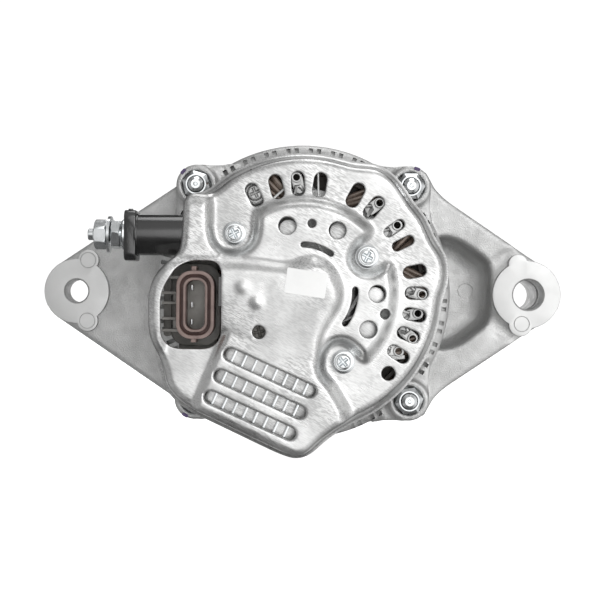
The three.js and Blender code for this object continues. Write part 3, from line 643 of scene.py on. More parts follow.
def drive_end_frame():
    """The front casting: a vented shell, a bearing nose, four bolt bosses and two arms that end in ears."""
    radius, bore, split, front = SHELL_RADIUS, SHELL_BORE, SHELL_SPLIT, SHELL_FRONT
    outer = turned(capped((radius, split), (radius, 28), (56, front), (30, front), (28, BEARING_FRONT_END)),
                   2.0, 144)
    left_arm = plate(arm_outline(-1), EAR_PAD, EAR_THIN, bevel=0.8)
    right_arm = plate(arm_outline(1), EAR_PAD, EAR_THICK - 6, bevel=0.8)
    right_end = rod(EAR_RADIUS + 0.2, EAR_PAD, EAR_THICK, about_y(EAR_ROUND_RIGHT), 1.0, 72)
    bosses = [rod(BOLT_BOSS, split, BOLT_FRONT, about_y(x, z), 1.0) for x, z in BOLT_PLACES]
    bosses += boss_webs(split, BOLT_FRONT - 8)
    ribs = [turned_about_y(block((29, 56.5), (front - 3, front + 3.5), (-1.7, 1.7), 0.8), a)
            for a in range(0, 360, 45)]
    cavity = turned(capped((bore, split - 5), (bore, 27), (52, front - 4), (BEARING_BORE, front - 4),
                           (BEARING_BORE, 49.2), (20, 49.2), (20, 58)), 0.8, 144)
    vents = frame_vents(34, 49, [22.5 + 45 * i for i in range(8)], 16, front - 8, front + 5)
    pocket = plate(rounded(ARM_POCKET, 4), -6, 18, bevel=7)
    valley = lathe([(17.5 + x, y - 4.0) for x, y in circle(7.5, count=24)], 96, about_y(EAR_ROUND_RIGHT))
    body = cut(joined(outer, left_arm, cut(right_arm, pocket), *bosses, *ribs), valley)
    body = joined(body, right_end)
    body = cut(body, cavity, *vents, *window_cutters(22, 31))
    body = cut(cast(body, 5, 0.45), rim_flat())
    body = joined(body, *ear_pads())
    marks = ear_marks([*EAR_PINS, (89.4, -11.9)], 3.1)
    marks.append(tube_ring(3.0, 3.3, 16, 18.6, about_y(68.5, 1.5), 0, 32))
    holes = [
        ear_hole(-EAR_SPAN, EAR_HOLE_LEFT, EAR_THIN),
        ear_hole(EAR_SPAN, EAR_HOLE_RIGHT, EAR_THICK),
        rod(EAR_HOLE_RIGHT + 2.2, 11.5, EAR_THICK + 1, about_y(EAR_SPAN), 0, 64),
        *bolt_holes(split, BOLT_FRONT),
    ]
    return cut(body, *holes, *marks)


def machined_ear(centre, normal):
    """The flat faces of the ears: the pads behind and the end of the thick ear in front."""
    on_pad = abs(centre.x) > 74 and centre.y < 0.2 and normal.y < -0.9
    on_front = abs(centre.x) > 78 and centre.y > EAR_THICK - 0.6 and normal.y > 0.9
    return on_pad or on_front


def rear_frame():
    """The rear casting, mostly under the cover: a vented shell, a bearing hub and four bolt bosses."""
    radius, bore, rear, top, hub = SHELL_RADIUS, SHELL_BORE, SHELL_REAR, SHELL_SPLIT - GAP, REAR_HUB_END
    outer = turned(capped((20.8, hub), (21.5, rear), (52, rear), (54, -11), (57.6, -9.5), (radius, -7.5),
                          (radius, top)), 1.2, 144)
    boss = capped((BOLT_BOSS - 1.0, BOLT_REAR - 3), (BOLT_BOSS - 0.2, top))
    bosses = [turned(boss, 0.8, 64, about_y(x, z)) for x, z in BOLT_PLACES]
    bosses += boss_webs(BOLT_REAR + 1, top)
    cavity = turned(capped((11, hub - 5), (11, -33.6), (17.8, -33.6), (17.8, rear + 3), (50.5, rear + 3),
                           (50.5, -6.3), (bore, -6.3), (bore, top + 2)), 0.5, 144)
    vents = frame_vents(27, 48, range(0, 360, 45), 15, rear - 2, rear + 5)
    well = capped((6.3, rear - 1), (5.6, BOLT_REAR))
    wells = [lathe(well, 64, about_y(x, z)) for x, z in BOLT_PLACES]
    body = cut(joined(outer, *bosses), cavity, *vents, *window_cutters(-19, -11), *wells)
    body = cut(cast(body, 4, 0.5), rim_flat())
    return cut(body, *bolt_holes(BOLT_REAR, top), together(*rim_notches()))


def rim_notches():
    """Pairs of small shallow recesses round the rear frame's shoulder, clear of its bolts."""
    cutters = []
    for i in range(40):
        middle = i * 9 + 4.5
        if abs(middle % 90 - 45) < 10:
            continue
        for side in (-1.65, 1.65):
            notch = block((54.2, 57.9), (-13, -6.8), (side - 0.85, side + 0.85), 0)
            cutters.append(turned_about_y(notch, middle))
    return cutters


# ---------- rear cover ----------
COVER_EDGE = (
    arc(54.2, 126, 70, 12)
    + [(23.6, 50.6), (28.1, 50.2), (32.2, 48.3), (36.3, 45), (39.3, 40.9), (42.7, 35.7), (47.6, 29.8),
       (51.8, 20.5), (54.8, 16.6), (56.3, 12.5), (56.7, 7.5), (55.9, 1.3), (54.1, -2)]
    + arc(54.2, -7, -68, 12)
    + [(15.5, -53), (8.8, -57.8), (5.1, -61.6), (1.4, -64), (-3, -64.6), (-9.8, -62.1), (-43.4, -46.4),
       (-49.2, -42.2), (-53.6, -36.8), (-55.7, -27), (-58.4, -15.7), (-58.9, -10.9), (-58.7, -0.1),
       (-56.4, 6.5), (-52, 11.6), (-47.3, 15.1), (-46.5, 29.2), (-45.9, 36), (-43.7, 38.1), (-38.8, 38.5),
       (-35.1, 40.8)]
)
DOME_EDGE = [(-66, 15.6), (-18, 15.3), (-10.8, 14.3), (-5.5, 13.7), (-1, 15.4), (4, 16.6), (11, 14.4),
             (15.6, 9.2), (17.9, 2.2), (17, -4.8), (13.3, -11.2), (10.4, -15.8), (9.2, -20.5), (8.8, -29.5),
             (-5.8, -26.2), (-19.4, -21.5), (-28, -18.5), (-36, -17.6), (-66, -17.6)]
HUMP_EDGE = [(-66, 38), (-37, 38), (-31, 35), (-28, 10), (-66, 10)]
BAY_EDGE = [(-66, 15), (-30, 15), (-30, -14), (0, -28), (0, -72), (-66, -72)]
PANEL_EDGE = [(-26.5, -5), (-20, -4), (8, -15), (8.8, -29), (12.8, -33.2), (19, -43.5), (18.5, -49),
              (16, -58), (6, -80), (-58, -80), (-42.3, -43.5)]
POCKETS = [
    [(-36.6, 60), (-36.6, 22), (-34.8, 16.6), (-31, 13.4), (-25.5, 12.4), (-20.5, 13.8), (-17, 17.2),
     (-15.7, 22), (-15.7, 60)],
    [(32, 34), (27.2, 25.9), (21.7, 21.8), (17, 17.7), (15.5, 13.6), (16.5, 9.2), (20, 5.7), (25.8, 4.7),
     (30.2, 7), (34, 10), (37.4, 12), (50, 14), (46, 30)],
    [(5.6, -27), (5.9, -22.8), (8, -18.6), (12.1, -16), (16.9, -16.3), (21, -19.4), (27.2, -26.9), (36, -38),
     (30, -60), (12, -60), (5, -40)],
]
BUMPS = [(-22.2, 1.8), (-16.9, -3.8)]
PLATEAU_RADIUS, PLATEAU_BAND = 36.5, 4.8
ROUND_HOLES = [(-6, 24.7, 3.3), (3.2, 25.6, 1.6), (12.7, 23.1, 3.2), (27.7, -0.4, 3.2), (30.7, -7.9, 1.9),
               (24.5, -13.7, 3.25), (-16.1, -14.9, 2.5)]


def step(inside, band):
    """Rises smoothly from 0 at an outline to 1 at a depth of one band inside it."""
    t = np.clip(inside / band, 0, 1)
    return t * t * (3 - 2 * t)


def pressed_levels(points):
    """How far the press pushes the cover out above its vent ring at each point."""
    x, z = points.T
    rise = FACE_RISE * step(PLATEAU_RADIUS - np.hypot(x, z), PLATEAU_BAND)
    # the hump sinks to half towards its upper end
    hump = (0.5 + 0.5 * step(39 - z, 9)) * step(distance_inside(points, rounded(HUMP_EDGE, 6, 6)), 3.0)
    bay = step(distance_inside(points, rounded(BAY_EDGE, 6, 6)), 3.5)
    rise = np.maximum(rise, FACE_RISE * np.maximum(hump, bay))
    # the dome rises upwards from the panel's level, and its flanks are rounder above than below
    inside = distance_inside(points, rounded(DOME_EDGE, 6, 6))
    crown = (DOME_RISE - PANEL_RISE) * step(z + 23, 24)
    plain = PANEL_RISE * step(inside, 4.4) + crown * step(inside, 8)
    bulged = (PANEL_RISE + crown) * (1 - (1 - np.clip(inside / 8.5, 0, 1)) ** 2)
    rise = np.maximum(rise, plain + (bulged - plain) * step(z + 4, 10))
    beside_socket = FACE_RISE + (DOME_RISE - FACE_RISE) * step(z + 40, 36)
    rise = np.where((x < -51.5) & (z < 0), np.maximum(rise, beside_socket), rise)
    for pocket in POCKETS:
        rise = rise * (1 - step(distance_inside(points, rounded(pocket, 4, 4)), 3.2))
    band = np.where(x > -5, 4.8, 2.8)
    rise = np.maximum(rise, PANEL_RISE * step(distance_inside(points, rounded(PANEL_EDGE, 3, 4)), band))
    for bump_x, bump_z in BUMPS:
        away = np.hypot(x - bump_x, z - bump_z) / 2.8
        rise = rise + 0.7 * np.clip(1 - away ** 2, 0, 1) ** 1.3
    return rise


def cover_rise(points):
    """The pressed levels with every crease eased, as thick sheet takes them."""
    reach, cell, blur, batches = 70, 0.5, 1.5, 12
    ticks = np.arange(-reach, reach + cell, cell)
    grid = np.array([(x, z) for x in ticks for z in ticks])
    levels = np.concatenate([pressed_levels(part) for part in np.array_split(grid, batches)])
    levels = levels.reshape(len(ticks), len(ticks))
    spread = np.exp(-0.5 * (np.arange(-6, 7) / blur) ** 2)
    for axis in (0, 1):
        levels = np.apply_along_axis(np.convolve, axis, levels, spread / spread.sum(), "same")
    place = (points + reach) / cell
    corner = np.floor(place).astype(int)
    share = place - corner
    across = [levels[corner[:, 0], corner[:, 1] + k] * (1 - share[:, 0])
              + levels[corner[:, 0] + 1, corner[:, 1] + k] * share[:, 0] for k in (0, 1)]
    return across[0] * (1 - share[:, 1]) + across[1] * share[:, 1]


def cover_openings():
    """(outline, radius of its rolled edge) of each opening."""
    vents = [(a, 38.5, 43, 4.9) for a in (117, 104.5, 93, 81.5)]
    vents += [(a, 39, 43.8, 4.9) for a in (62, 50.5)]
    vents += [(a, 39.3, 44.4, 3.6) for a in (35.5, 26.5)]
    vents += [(a, 40.6, 44.8, 4.6) for a in (11, 0, -11, -21.5, -32.5)]
    openings = [(stadium(polar(low, a), polar(high, a), width), 0.45) for a, low, high, width in vents]
    openings.append((circle(2.6, polar(44.3, -43)), 0.45))
    openings += [(circle(radius, (x, z)), 0.35) for x, z, radius in ROUND_HOLES]
    openings += [(bent_slot(17.7, 54, 90, 2.0), 0.35), (bent_slot(19.5, -36, 3, 2.2), 0.35)]
    openings += [(stadium(fin_place(-16.2, across), fin_place(16.2, across), 4.7), 0.9)
                 for across in (8.7, 0, -8.7)]
    socket = [(-30.1, 11.4), (-30.1, -21.4), (-52.6, -21.4), (-52.6, 0), (-46.8, 9), (-42, 11.4)]
    openings.append((rounded(socket, 8, 8), 0.35))
    return [(resampled(anticlockwise(loop), 0.55), lip) for loop, lip in openings]


def fin_place(along, across):
    """A place on the slanting grid of cooling fins."""
    x, z = polar(1, FIN_TURN)
    return (FIN_X + along * x - across * z, FIN_Z + along * z + across * x)


def inner_points(outline, holes):
    """A staggered grid that stays clear of the outline and the holes."""
    spacing, margin = 0.75, 0.4
    low, high = outline.min(0), outline.max(0)
    rows = np.arange(low[1], high[1], spacing * 0.866)
    grid = np.array([(x + (i % 2) * spacing / 2, z) for i, z in enumerate(rows)
                     for x in np.arange(low[0], high[0], spacing)])
    keep = distance_inside(grid, outline) > margin
    for hole in holes:
        keep &= distance_inside(grid, hole) < -margin
    return grid[keep]


def cover_triangles(flat, loops):
    """Triangles between the first loop and the others, which lie first in flat, in order."""
    edges = []
    start = 0
    for loop in loops:
        count = len(loop)
        edges += [(start + i, start + (i + 1) % count) for i in range(count)]
        start += count
    made = delaunay_2d_cdt([Vector(p) for p in flat], edges, [], 0, 1e-7)
    source = [origin[0] for origin in made[3]]
    triangles = np.array([[source[i] for i in face] for face in made[2]])
    middle = flat[triangles].mean(1)
    keep = distance_inside(middle, loops[0]) > 0
    for hole in loops[1:]:
        keep &= distance_inside(middle, hole) < 0
    return triangles[keep]


def cover_wall_rows():
    """Rows down the wall and back up its inside, as (inset from the edge, place along Y, leaning).

    A leaning row is measured from the top and moves in by the wall's draft. The others are places along Y.
    """
    inset, shoulder, sheet, rim = COVER_FLANGE, COVER_SHOULDER, COVER_SHEET, COVER_RIM
    turns = [math.radians(a) for a in (18, 36, 54, 72, 90)]
    down = [(inset + shoulder * (1 - math.sin(a)), shoulder * (1 - math.cos(a)), True) for a in turns]
    foot = [(inset, rim - 4.2), (inset - 0.1, rim - 3.3), (inset - 0.4, rim - 2.6), (inset - 1.0, rim - 2.25),
            (0.12, rim - 2.1), (0, rim - 1.7), (0.05, rim - 1.2), (0.5, rim - 0.95), (0.45, rim - 0.5),
            (0.8, rim), (1.7, rim), (2.0, rim - 0.8), (inset + sheet, rim - 3.2)]
    inner = shoulder - sheet
    up = [(inset + sheet + inner * (1 - math.sin(a)), sheet + inner * (1 - math.cos(a)), True)
          for a in reversed(turns)]
    return down + [(across, y, False) for across, y in foot] + up


def wall_draft(edge):
    """How far the wall leans in: it stands upright beside the terminals."""
    x, z = edge.T
    return COVER_DRAFT * (1 - step(-34 - x, 10) * step(z + 32, 16))


def rear_cover():
    """The cover as one closed sheet: its top and underside, the outer wall, and the lip of each opening."""
    edge = eased(resampled(anticlockwise(COVER_EDGE), 1.0), 2.2)
    outward = eased(loop_normals(edge), 4.0)
    draft = wall_draft(edge)[:, None]
    top_edge = edge - outward * (COVER_FLANGE + COVER_SHOULDER + draft)
    holes = [(loop, loop_normals(loop), lip) for loop, lip in cover_openings()]
    top_holes = [loop + normal * lip for loop, normal, lip in holes]
    loops = [top_edge, *top_holes]
    flat = np.vstack([*loops, inner_points(top_edge, top_holes)])
    top = COVER_RING - cover_rise(flat)
    count = len(flat)
    vertices = [(x, y, z) for (x, z), y in zip(flat, top)]
    vertices += [(x, y + COVER_SHEET, z) for (x, z), y in zip(flat, top)]
    triangles = cover_triangles(flat, loops)
    faces = [tuple(t) for t in triangles] + [tuple(t + count) for t in triangles]

    def skin(start, size, rows):
        """Faces from a loop of the top, through rows of places, to the same loop of the underside."""
        rings = [range(start, start + size)]
        for row in rows:
            rings.append(range(len(vertices), len(vertices) + size))
            vertices.extend(row)
        rings.append(range(count + start, count + start + size))
        for one, two in zip(rings, rings[1:]):
            faces.extend((one[i], one[(i + 1) % size], two[(i + 1) % size], two[i]) for i in range(size))

    size = len(top_edge)
    rows = []
    for inset, height, leaning in cover_wall_rows():
        places = edge - outward * (inset + draft * leaning)
        rows.append([(x, height + level * leaning, z) for (x, z), level in zip(places, top[:size])])
    skin(0, size, rows)
    start = size
    for loop, normal, lip in holes:
        size = len(loop)
        levels = top[start:start + size]
        rows = []
        for turn in (25, 50, 70, 90):
            back = lip * (1 - math.sin(math.radians(turn)))
            drop = lip * (1 - math.cos(math.radians(turn)))
            rows.append([(x, y + drop, z) for (x, z), y in zip(loop + normal * back, levels)])
        rows.append([(x, y + COVER_SHEET + lip * 0.5, z) for (x, z), y in zip(loop, levels)])
        skin(start, size, rows)
        start += size
    return vertices, faces


# ---------- fasteners ----------
def cross_screw(x, z, seat, turn):
    """A pan head on a washer flange, with a tapering cross recess."""
    top = seat - 2.6
    profile = [(0, top), (2.3, top + 0.05), (2.9, top + 0.6), (3.0, seat - 1.1), (3.5, seat - 1.1),
               (4.5, seat - 0.7), (4.6, seat), (2.0, seat), (2.0, seat + 9), (0, seat + 9)]
    body = turned(profile, 0.2, 72, about_y(x, z))
    return cut(body, *cross_recess(x, z, top, turn))


def cross_recess(x, z, top, turn):
    """Two crossed wedges that narrow as they go in, as cutters."""
    outline = [(-2.1, -0.85), (2.1, -0.85), (2.1, 0.85), (-2.1, 0.85)]
    wedge = plate(outline, top - 0.3, top + 1.5, bevel=0, draft=-0.8)
    return [turned_about_y(wedge, turn + more, (x, 0, z)) for more in (0, 90)]


def through_bolt(place, turn):
    """A long screw with a flanged six-sided head in front and a centred end behind."""
    top, thread_start, thread_end = BOLT_FRONT + 0.2, -20.4, -6
    thread = ridges(BOLT_RADIUS, thread_start, 14, 1.0, 0.4, (0.05, 0.4, 0.6, 0.95))
    shank = lathe([(0, -20.7), (0.5, -20.7), (0.9, -21.2), (1.8, -21.2), (2.6, thread_start), *thread,
                   (BOLT_RADIUS, thread_end), (BOLT_RADIUS, top), (0, top)], 32, place)
    base, apothem = BOLT_FRONT + GAP, 4.9
    flange = turned(capped((6.3, base), (6.2, base + 0.8), (5.2, base + 1.8)), 0.3, 64, place)
    corner = apothem / math.cos(math.radians(30)) + 0.01
    head = lathe([(0, base + 1), (corner, base + 1), (corner, base + 4.2), (apothem, base + 4.9),
                  (3.4, base + 5), (3.0, base + 4.6), (0, base + 4.6)], 144, place, hexagon(apothem, turn))
    return joined(shank, flange, head)


def flange_nut(place, turn):
    seat, corner = BOLT_REAR - GAP, 5.67
    flange = turned([(3.3, seat - 1.2), (4.4, seat - 1.7), (5.1, seat - 0.8), (5.2, seat), (3.3, seat)],
                    0.3, 64, place)
    body = lathe([(3.2, seat - 5.2), (3.45, seat - 6), (3.95, seat - 6), (corner, seat - 4.6),
                  (corner, seat - 0.8), (3.2, seat - 0.8)], 144, place, hexagon(4.9, turn))
    return joined(flange, body)


# ---------- charging terminal ----------
def split_washer(inner, outer, start, thickness, place):
    """A spring washer: a flat ring, cut once, whose ends stand apart."""
    steps, gap, spread = 60, 24, 0.9
    vertices, faces = [], []
    for i in range(steps + 1):
        share = i / steps
        angle = math.radians(gap / 2 + (360 - gap) * share)
        lift = spread * (share - 0.5)
        for radius, along in ((inner, 0), (outer, 0), (outer, thickness), (inner, thickness)):
            vertices.append(place(radius * math.cos(angle), radius * math.sin(angle), start + along + lift))
    for i in range(steps):
        faces += [(i * 4 + k, i * 4 + (k + 1) % 4, i * 4 + 4 + (k + 1) % 4, i * 4 + 4 + k) for k in range(4)]
    faces += [(0, 1, 2, 3), (steps * 4, steps * 4 + 1, steps * 4 + 2, steps * 4 + 3)]
    return vertices, faces


def insulator():
    """The black tube of the charging terminal, with its square collar and a small rib on that."""
    tube_part = turned([(3.4, 40.6), (TERMINAL_TUBE - 0.6, 40.6), (TERMINAL_TUBE, 42), (TERMINAL_TUBE, 64.5),
                        (3.4, 64.5)], 0.5, 96, terminal_line)
    collar = plate(rounded_box((0, -0.4), 15.5, 19, 3), 62.8, 67.2, bevel=0.5, place=terminal_line)
    step_part = rod(8.1, 62.2, 63.6, terminal_line, 0.4, 96)
    rib = plate([(-0.6, 7), (0.6, 7), (0.3, 9.9), (-0.3, 9.9)], 64.6, 66.4, bevel=0.1, place=terminal_line)
    bore = rod(3.3, 39, 71, terminal_line, 0, 32)
    return cut(joined(tube_part, collar, step_part, rib), bore)


# ---------- regulator ----------
def socket_outline(inset):
    width, height = 14 - 2 * inset, 25.2 - 2 * inset
    return rounded_box((SOCKET_X, SOCKET_Z), width, height, 5.5 - 0.75 * inset)


def socket_shroud():
    mouth = SOCKET_MOUTH
    wall = plate(socket_outline(0), mouth, -34.5, [socket_outline(1.25)], 0.3)
    tabs = [block((SOCKET_X - 1.5, SOCKET_X + 0.3), (mouth + 1.2, -36), z, 0.25)
            for z in ((SOCKET_Z + 12.2, SOCKET_Z + 14.3), (SOCKET_Z - 13.9, SOCKET_Z - 12.2))]
    return joined(wall, *tabs)


def regulator_body():
    outline = [(-47, 12), (-32.6, 12), (-32.6, -20), (-20, -25), (4, -28), (8, -44), (2, -53), (-5, -53),
               (-36, -40.5), (-47, -34)]
    body = plate(rounded(outline, 2), -34.2, -27.5, bevel=0.5)
    shelf = plate(rounded_box((SOCKET_X - 0.8, SOCKET_Z), 19, 31, 6), -37.2, -33.6, bevel=0.5)
    ribs = [block((-52.6, SOCKET_X - 6.6), (-43.6, -35.5), (z - 0.55, z + 0.55), 0.2)
            for z in (5.2, -0.6, -4.4, -10.2, -14.6)]
    posts = [block((-48.6, -47.2), (-42.4, -35.5), (low, low + 3.6), 0.3) for low in (-4.0, -14.2)]
    ledge = plate(rounded_box((-51, -5), 3, 24, 1.2), -38.5, -34, bevel=0.3)
    return joined(body, shelf, ledge, *ribs, *posts)


def heat_sink():
    corners = [(-18.5, 13.5), (19, 13.5), (22, 0), (17.5, -12.5), (-18.5, -12.5)]
    base = plate(rounded([fin_place(a, b) for a, b in corners], 2), -43.2, -34.5, bevel=0.5)
    fins = []
    for i in range(FIN_COUNT):
        x, z = fin_place((i - (FIN_COUNT - 1) / 2) * FIN_PITCH, 0)
        fin = block((-0.5, 0.5), (FIN_TOP, -38), (-11.5, 11.5), 0.12)
        fins.append(turned_about_y(fin, FIN_TURN, (x, 0, z)))
    return joined(base, *fins)


# ---------- windings, rotor, fans ----------
def coil_end(base, tip, seed):
    """The heads of the stator coils: bundles that leave one slot, lean over and enter another."""
    strands, steps, wire = 5, 8, 0.75
    inner, outer = WINDING_INNER, WINDING_OUTER
    wires = []
    away = 1 if tip > base else -1
    height = abs(tip - base)
    for coil in range(STATOR_SLOTS):
        for strand in range(strands):
            lane = strand / (strands - 1)
            start, span = coil * 360 / STATOR_SLOTS, 28 + 3 * lane
            points = []
            for k in range(steps + 1):
                t = k / steps
                bulge = math.sin(math.pi * t)
                wobble = 0.35 * math.sin(seed + 2.1 * coil + 1.7 * strand + 3 * t)
                across = 0.5 + 0.42 * math.cos(math.pi * (t + 0.12 * lane))
                radius = inner + 1.2 + (outer - inner - 2.4) * across
                rise = 0.6 + (height - 2.2) * bulge ** 0.55 * (0.62 + 0.38 * lane)
                x, z = polar(radius + wobble * 0.3, start + span * t)
                points.append((x, base + away * rise + wobble * 0.3, z))
            wires.append(tube(points, wire, 6))
    return wires


def stator_winding():
    front = coil_end(22.3, 30, 0.4)
    rear = coil_end(-6.3, -15, 1.9)
    bars = [turned_about_y(block((47, 51), (-8, 24), (-1.1, 1.1), 0.3), 10 * i) for i in range(STATOR_SLOTS)]
    return together(*front, *rear, *bars)


def curved_blade(angle, low, high):
    """A thin fan blade, bent backwards as it runs outwards."""
    inner, outer = 26, 37.4
    middle = [(inner + (outer - inner) * t, angle + 26 * t ** 1.3) for t in [k / 7 for k in range(8)]]
    one = [polar(r, a - 50 / r) for r, a in middle]
    two = [polar(r, a + 50 / r) for r, a in middle]
    return plate(one + two[::-1], low, high, bevel=0.15)


def fan(base, side):
    """A pressed disc with a scalloped edge, whose blades stand unevenly to keep it quiet."""
    blades = [0, 37, 79, 118, 163, 199, 244, 281, 322]
    sheet, height = 1.2, 3.5
    low = base if side > 0 else base - sheet
    outline = [polar(38 - 5.5 * max(0.0, math.sin(math.radians(len(blades) * a + 40))) ** 3, a)
               for a in range(0, 360, 2)]
    disc = plate(outline, low, low + sheet, [circle(8.8, count=48)], 0.2)
    span = (base + 0.5, base + sheet + height) if side > 0 else (base - sheet - height, base - 0.5)
    return joined(disc, *[curved_blade(a, *span) for a in blades])


def pulley():
    """A V-belt pulley, hollowed at both ends."""
    radius, rear, front = PULLEY_RADIUS, PULLEY_REAR, PULLEY_FRONT
    middle, floor = (rear + front) / 2, PULLEY_RADIUS - 10.5
    profile = [(8.5, rear), (16, rear), (16, rear + 4), (20, rear + 4), (radius - 4, rear + 2),
               (radius, rear + 2.6), (radius, middle - 6.6), (floor, middle - 2.6), (floor, middle + 2.6),
               (radius, middle + 6.6), (radius, front - 2.6), (radius - 4, front - 2), (22, front - 5),
               (16, front - 5), (16, front), (8.5, front)]
    return turned(profile, 0.8, 144)


def pulley_washer():
    seat = PULLEY_FRONT
    return turned([(7.3, seat + GAP), (12.5, seat + GAP), (12.3, seat + 2), (11.8, seat + 2.5),
                   (7.3, seat + 2.5)], 0.2)


def shaft():
    """The shaft, threaded in front of the pulley, with a key socket in its end."""
    seat, nut_end = PULLEY_FRONT - 1, PULLEY_FRONT + 14
    front = [(0, 26.8), (8.2, 26.8), (8.2, seat), (SHAFT_THREAD - 0.5, seat),
             *threaded(SHAFT_THREAD, seat, nut_end, 1.5, 0.6, 1.0), (0, nut_end)]
    rear = capped((4.9, -48.6), (5.5, -48), (5.5, -35), (7.2, -35), (7.2, -20.5), (8.5, -20.5), (8.5, 27))
    socket = lathe(capped((3.2, nut_end - 6), (3.2, nut_end + 1)), 48, about_y(), hexagon(2.6))
    return cut(joined(lathe(front, 96), turned(rear, 0.3, 64)), socket)


def ball_set(bore, radius, rear, width):
    """Polished balls in a pressed cage of two wavy halves."""
    balls, ball_steps, cage_steps = 7, 12, 12
    ball = (radius - bore) * 0.27 - 0.4
    path, middle = (radius + bore) / 2, rear + width / 2
    turns = [math.pi * k / ball_steps for k in range(1, ball_steps)]
    profile = [(0, middle - ball), *[(ball * math.sin(a), middle - ball * math.cos(a)) for a in turns],
               (0, middle + ball)]
    shapes = [lathe(profile, 24, about_y(*polar(path, 360 / balls * i))) for i in range(balls)]
    for side in (-1, 1):
        points = []
        for k in range(balls * cage_steps + 1):
            share = k / cage_steps % 1
            swell = ball * max(0.12, math.sin(math.pi * ((share + 0.5) % 1))) * side * 0.85
            x, z = polar(path, 360 / balls * (k / cage_steps))
            points.append((x, middle + swell, z))
        shapes.append(tube(points, 0.5, 6))
    return together(*shapes)


def spring_wire(y):
    """A coil spring along X, behind a brush."""
    turns, steps, front, length = 5, 120, -19.85, 9.6
    points = []
    for k in range(steps + 1):
        u, v = polar(1.6, turns * 360 * k / steps)
        points.append((front - length * k / steps, y + u, v))
    return tube(points, 0.22, 6)


# ---------- rectifier ----------
DIODE_PLACES = [polar(25.2, 103.5), polar(27.2, 61), polar(26.6, -1), polar(26.9, -28.5)]


def diode(x, z, low, high, radius):
    """A press-fit diode: a can with a stepped lid and a lead."""
    profile = capped((1.0, low), (1.0, low + 1.0), (2.6, low + 1.2), (3.4, low + 1.9),
                     (radius - 0.3, low + 2.0), (radius, low + 2.4), (radius, high))
    return lathe(rounded(profile, 0.3, 2, False), 36, about_y(x, z))


def screw_holes(low, high):
    """Room for the two cover screws that pass through the rectifier, as cutters."""
    return [rod(2.7, low, high, about_y(x, z), 0, 20) for x, z in SCREW_PLACES[:2]]


def rectifier_positive():
    base = cut(sector_plate(22.5, 39.4, -56, 145, -37.2, -35, 0.3), *screw_holes(-39, -33))
    cans = [diode(x, z, -42, -36, 4.2) for x, z in DIODE_PLACES]
    return joined(base, *cans)


def diode_lids():
    lid = capped((3.7, -42.1), (4.0, -41.4))
    return together(*[turned(lid, 0.2, 40, about_y(x + 0.4, z - 0.9)) for x, z in DIODE_PLACES])


def lead_eyes():
    """Flattened ends of the stator leads, each with an eye, behind the vent slots."""
    eye = plate(rounded_box((0, 0), 8.5, 4.6, 2.2), -40.2, -39.3, [circle(1.25, (2.0, 0), 20)], 0.25)
    rim = tube_ring(1.25, 1.9, -41, -40, about_y(2.0, 0), 0.2, 24)
    wire = tube([(-4.5, -39.5, -1.6), (-1.5, -40.4, -0.2), (-1.2, -40.6, 0.9), (-3.8, -40.2, 2.4)], 0.8, 8)
    shapes = []
    for angle, radius, lean in ((93, 41.4, 14), (50.5, 42.4, -16), (35.5, 41.6, 8), (0, 43, -14),
                                (-11, 42.2, 24), (-21.5, 43, -20), (-32.5, 40.6, 30)):
        x, z = polar(radius, angle)
        shapes.append(turned_about_y(together(eye, rim, wire), angle + lean, (x, 0, z)))
    return together(*shapes)


def lead_strips():
    """Bright straight strips that cross the slots."""
    shapes = []
    for angle, radius, lean, width in ((103, 38.6, -62, 0.9), (82.4, 41.5, 9, 0.8), (68, 17.8, 50, 1.2),
                                       (-12, 19.8, 70, 1.4), (-30, 19.8, 60, 0.9), (-36, 41.5, 40, 1.6)):
        strip = block((-5, 5), (-40.6, -39.8), (-width / 2, width / 2), 0.2)
        x, z = polar(radius, angle)
        shapes.append(turned_about_y(strip, angle + lean, (x, 0, z)))
    return together(*shapes)


def stator_leads():
    """Brown lacquered leads that slant past the vent slots, three side by side."""
    shapes = []
    for angle, spread, twist in ((104.5, 3.6, 5), (62, 3.2, -8), (26.5, 3.8, 3), (11, 3.1, -7), (-3, 4, 6),
                                 (-33, 3.4, 9)):
        for lane in (-1, 0, 1):
            middle = angle + lane * spread
            bends = ((35.5, -twist), (41.5, 0.3 * twist), (47, twist))
            places = [polar(radius, middle + more) for radius, more in bends]
            levels = (-36.8, -38.4 + 0.5 * lane, -37.6)
            points = [(x, y, z) for (x, z), y in zip(places, levels)]
            shapes.append(tube(points, 1.2 - 0.15 * lane, 10))
    return together(*shapes)


def terminal_block():
    holes = [rod(5.6, -35, -31, about_y(*polar(36, a)), 0, 28) for a in (88, 20, -38)]
    band = cut(sector_plate(24, 46.2, -58, 128, -33.6, -32.6, 0.2), *holes, *screw_holes(-35, -31))
    wall = sector_plate(44.8, 46.4, -58, 128, -37.5, -33.0, 0.2)
    return joined(band, wall)


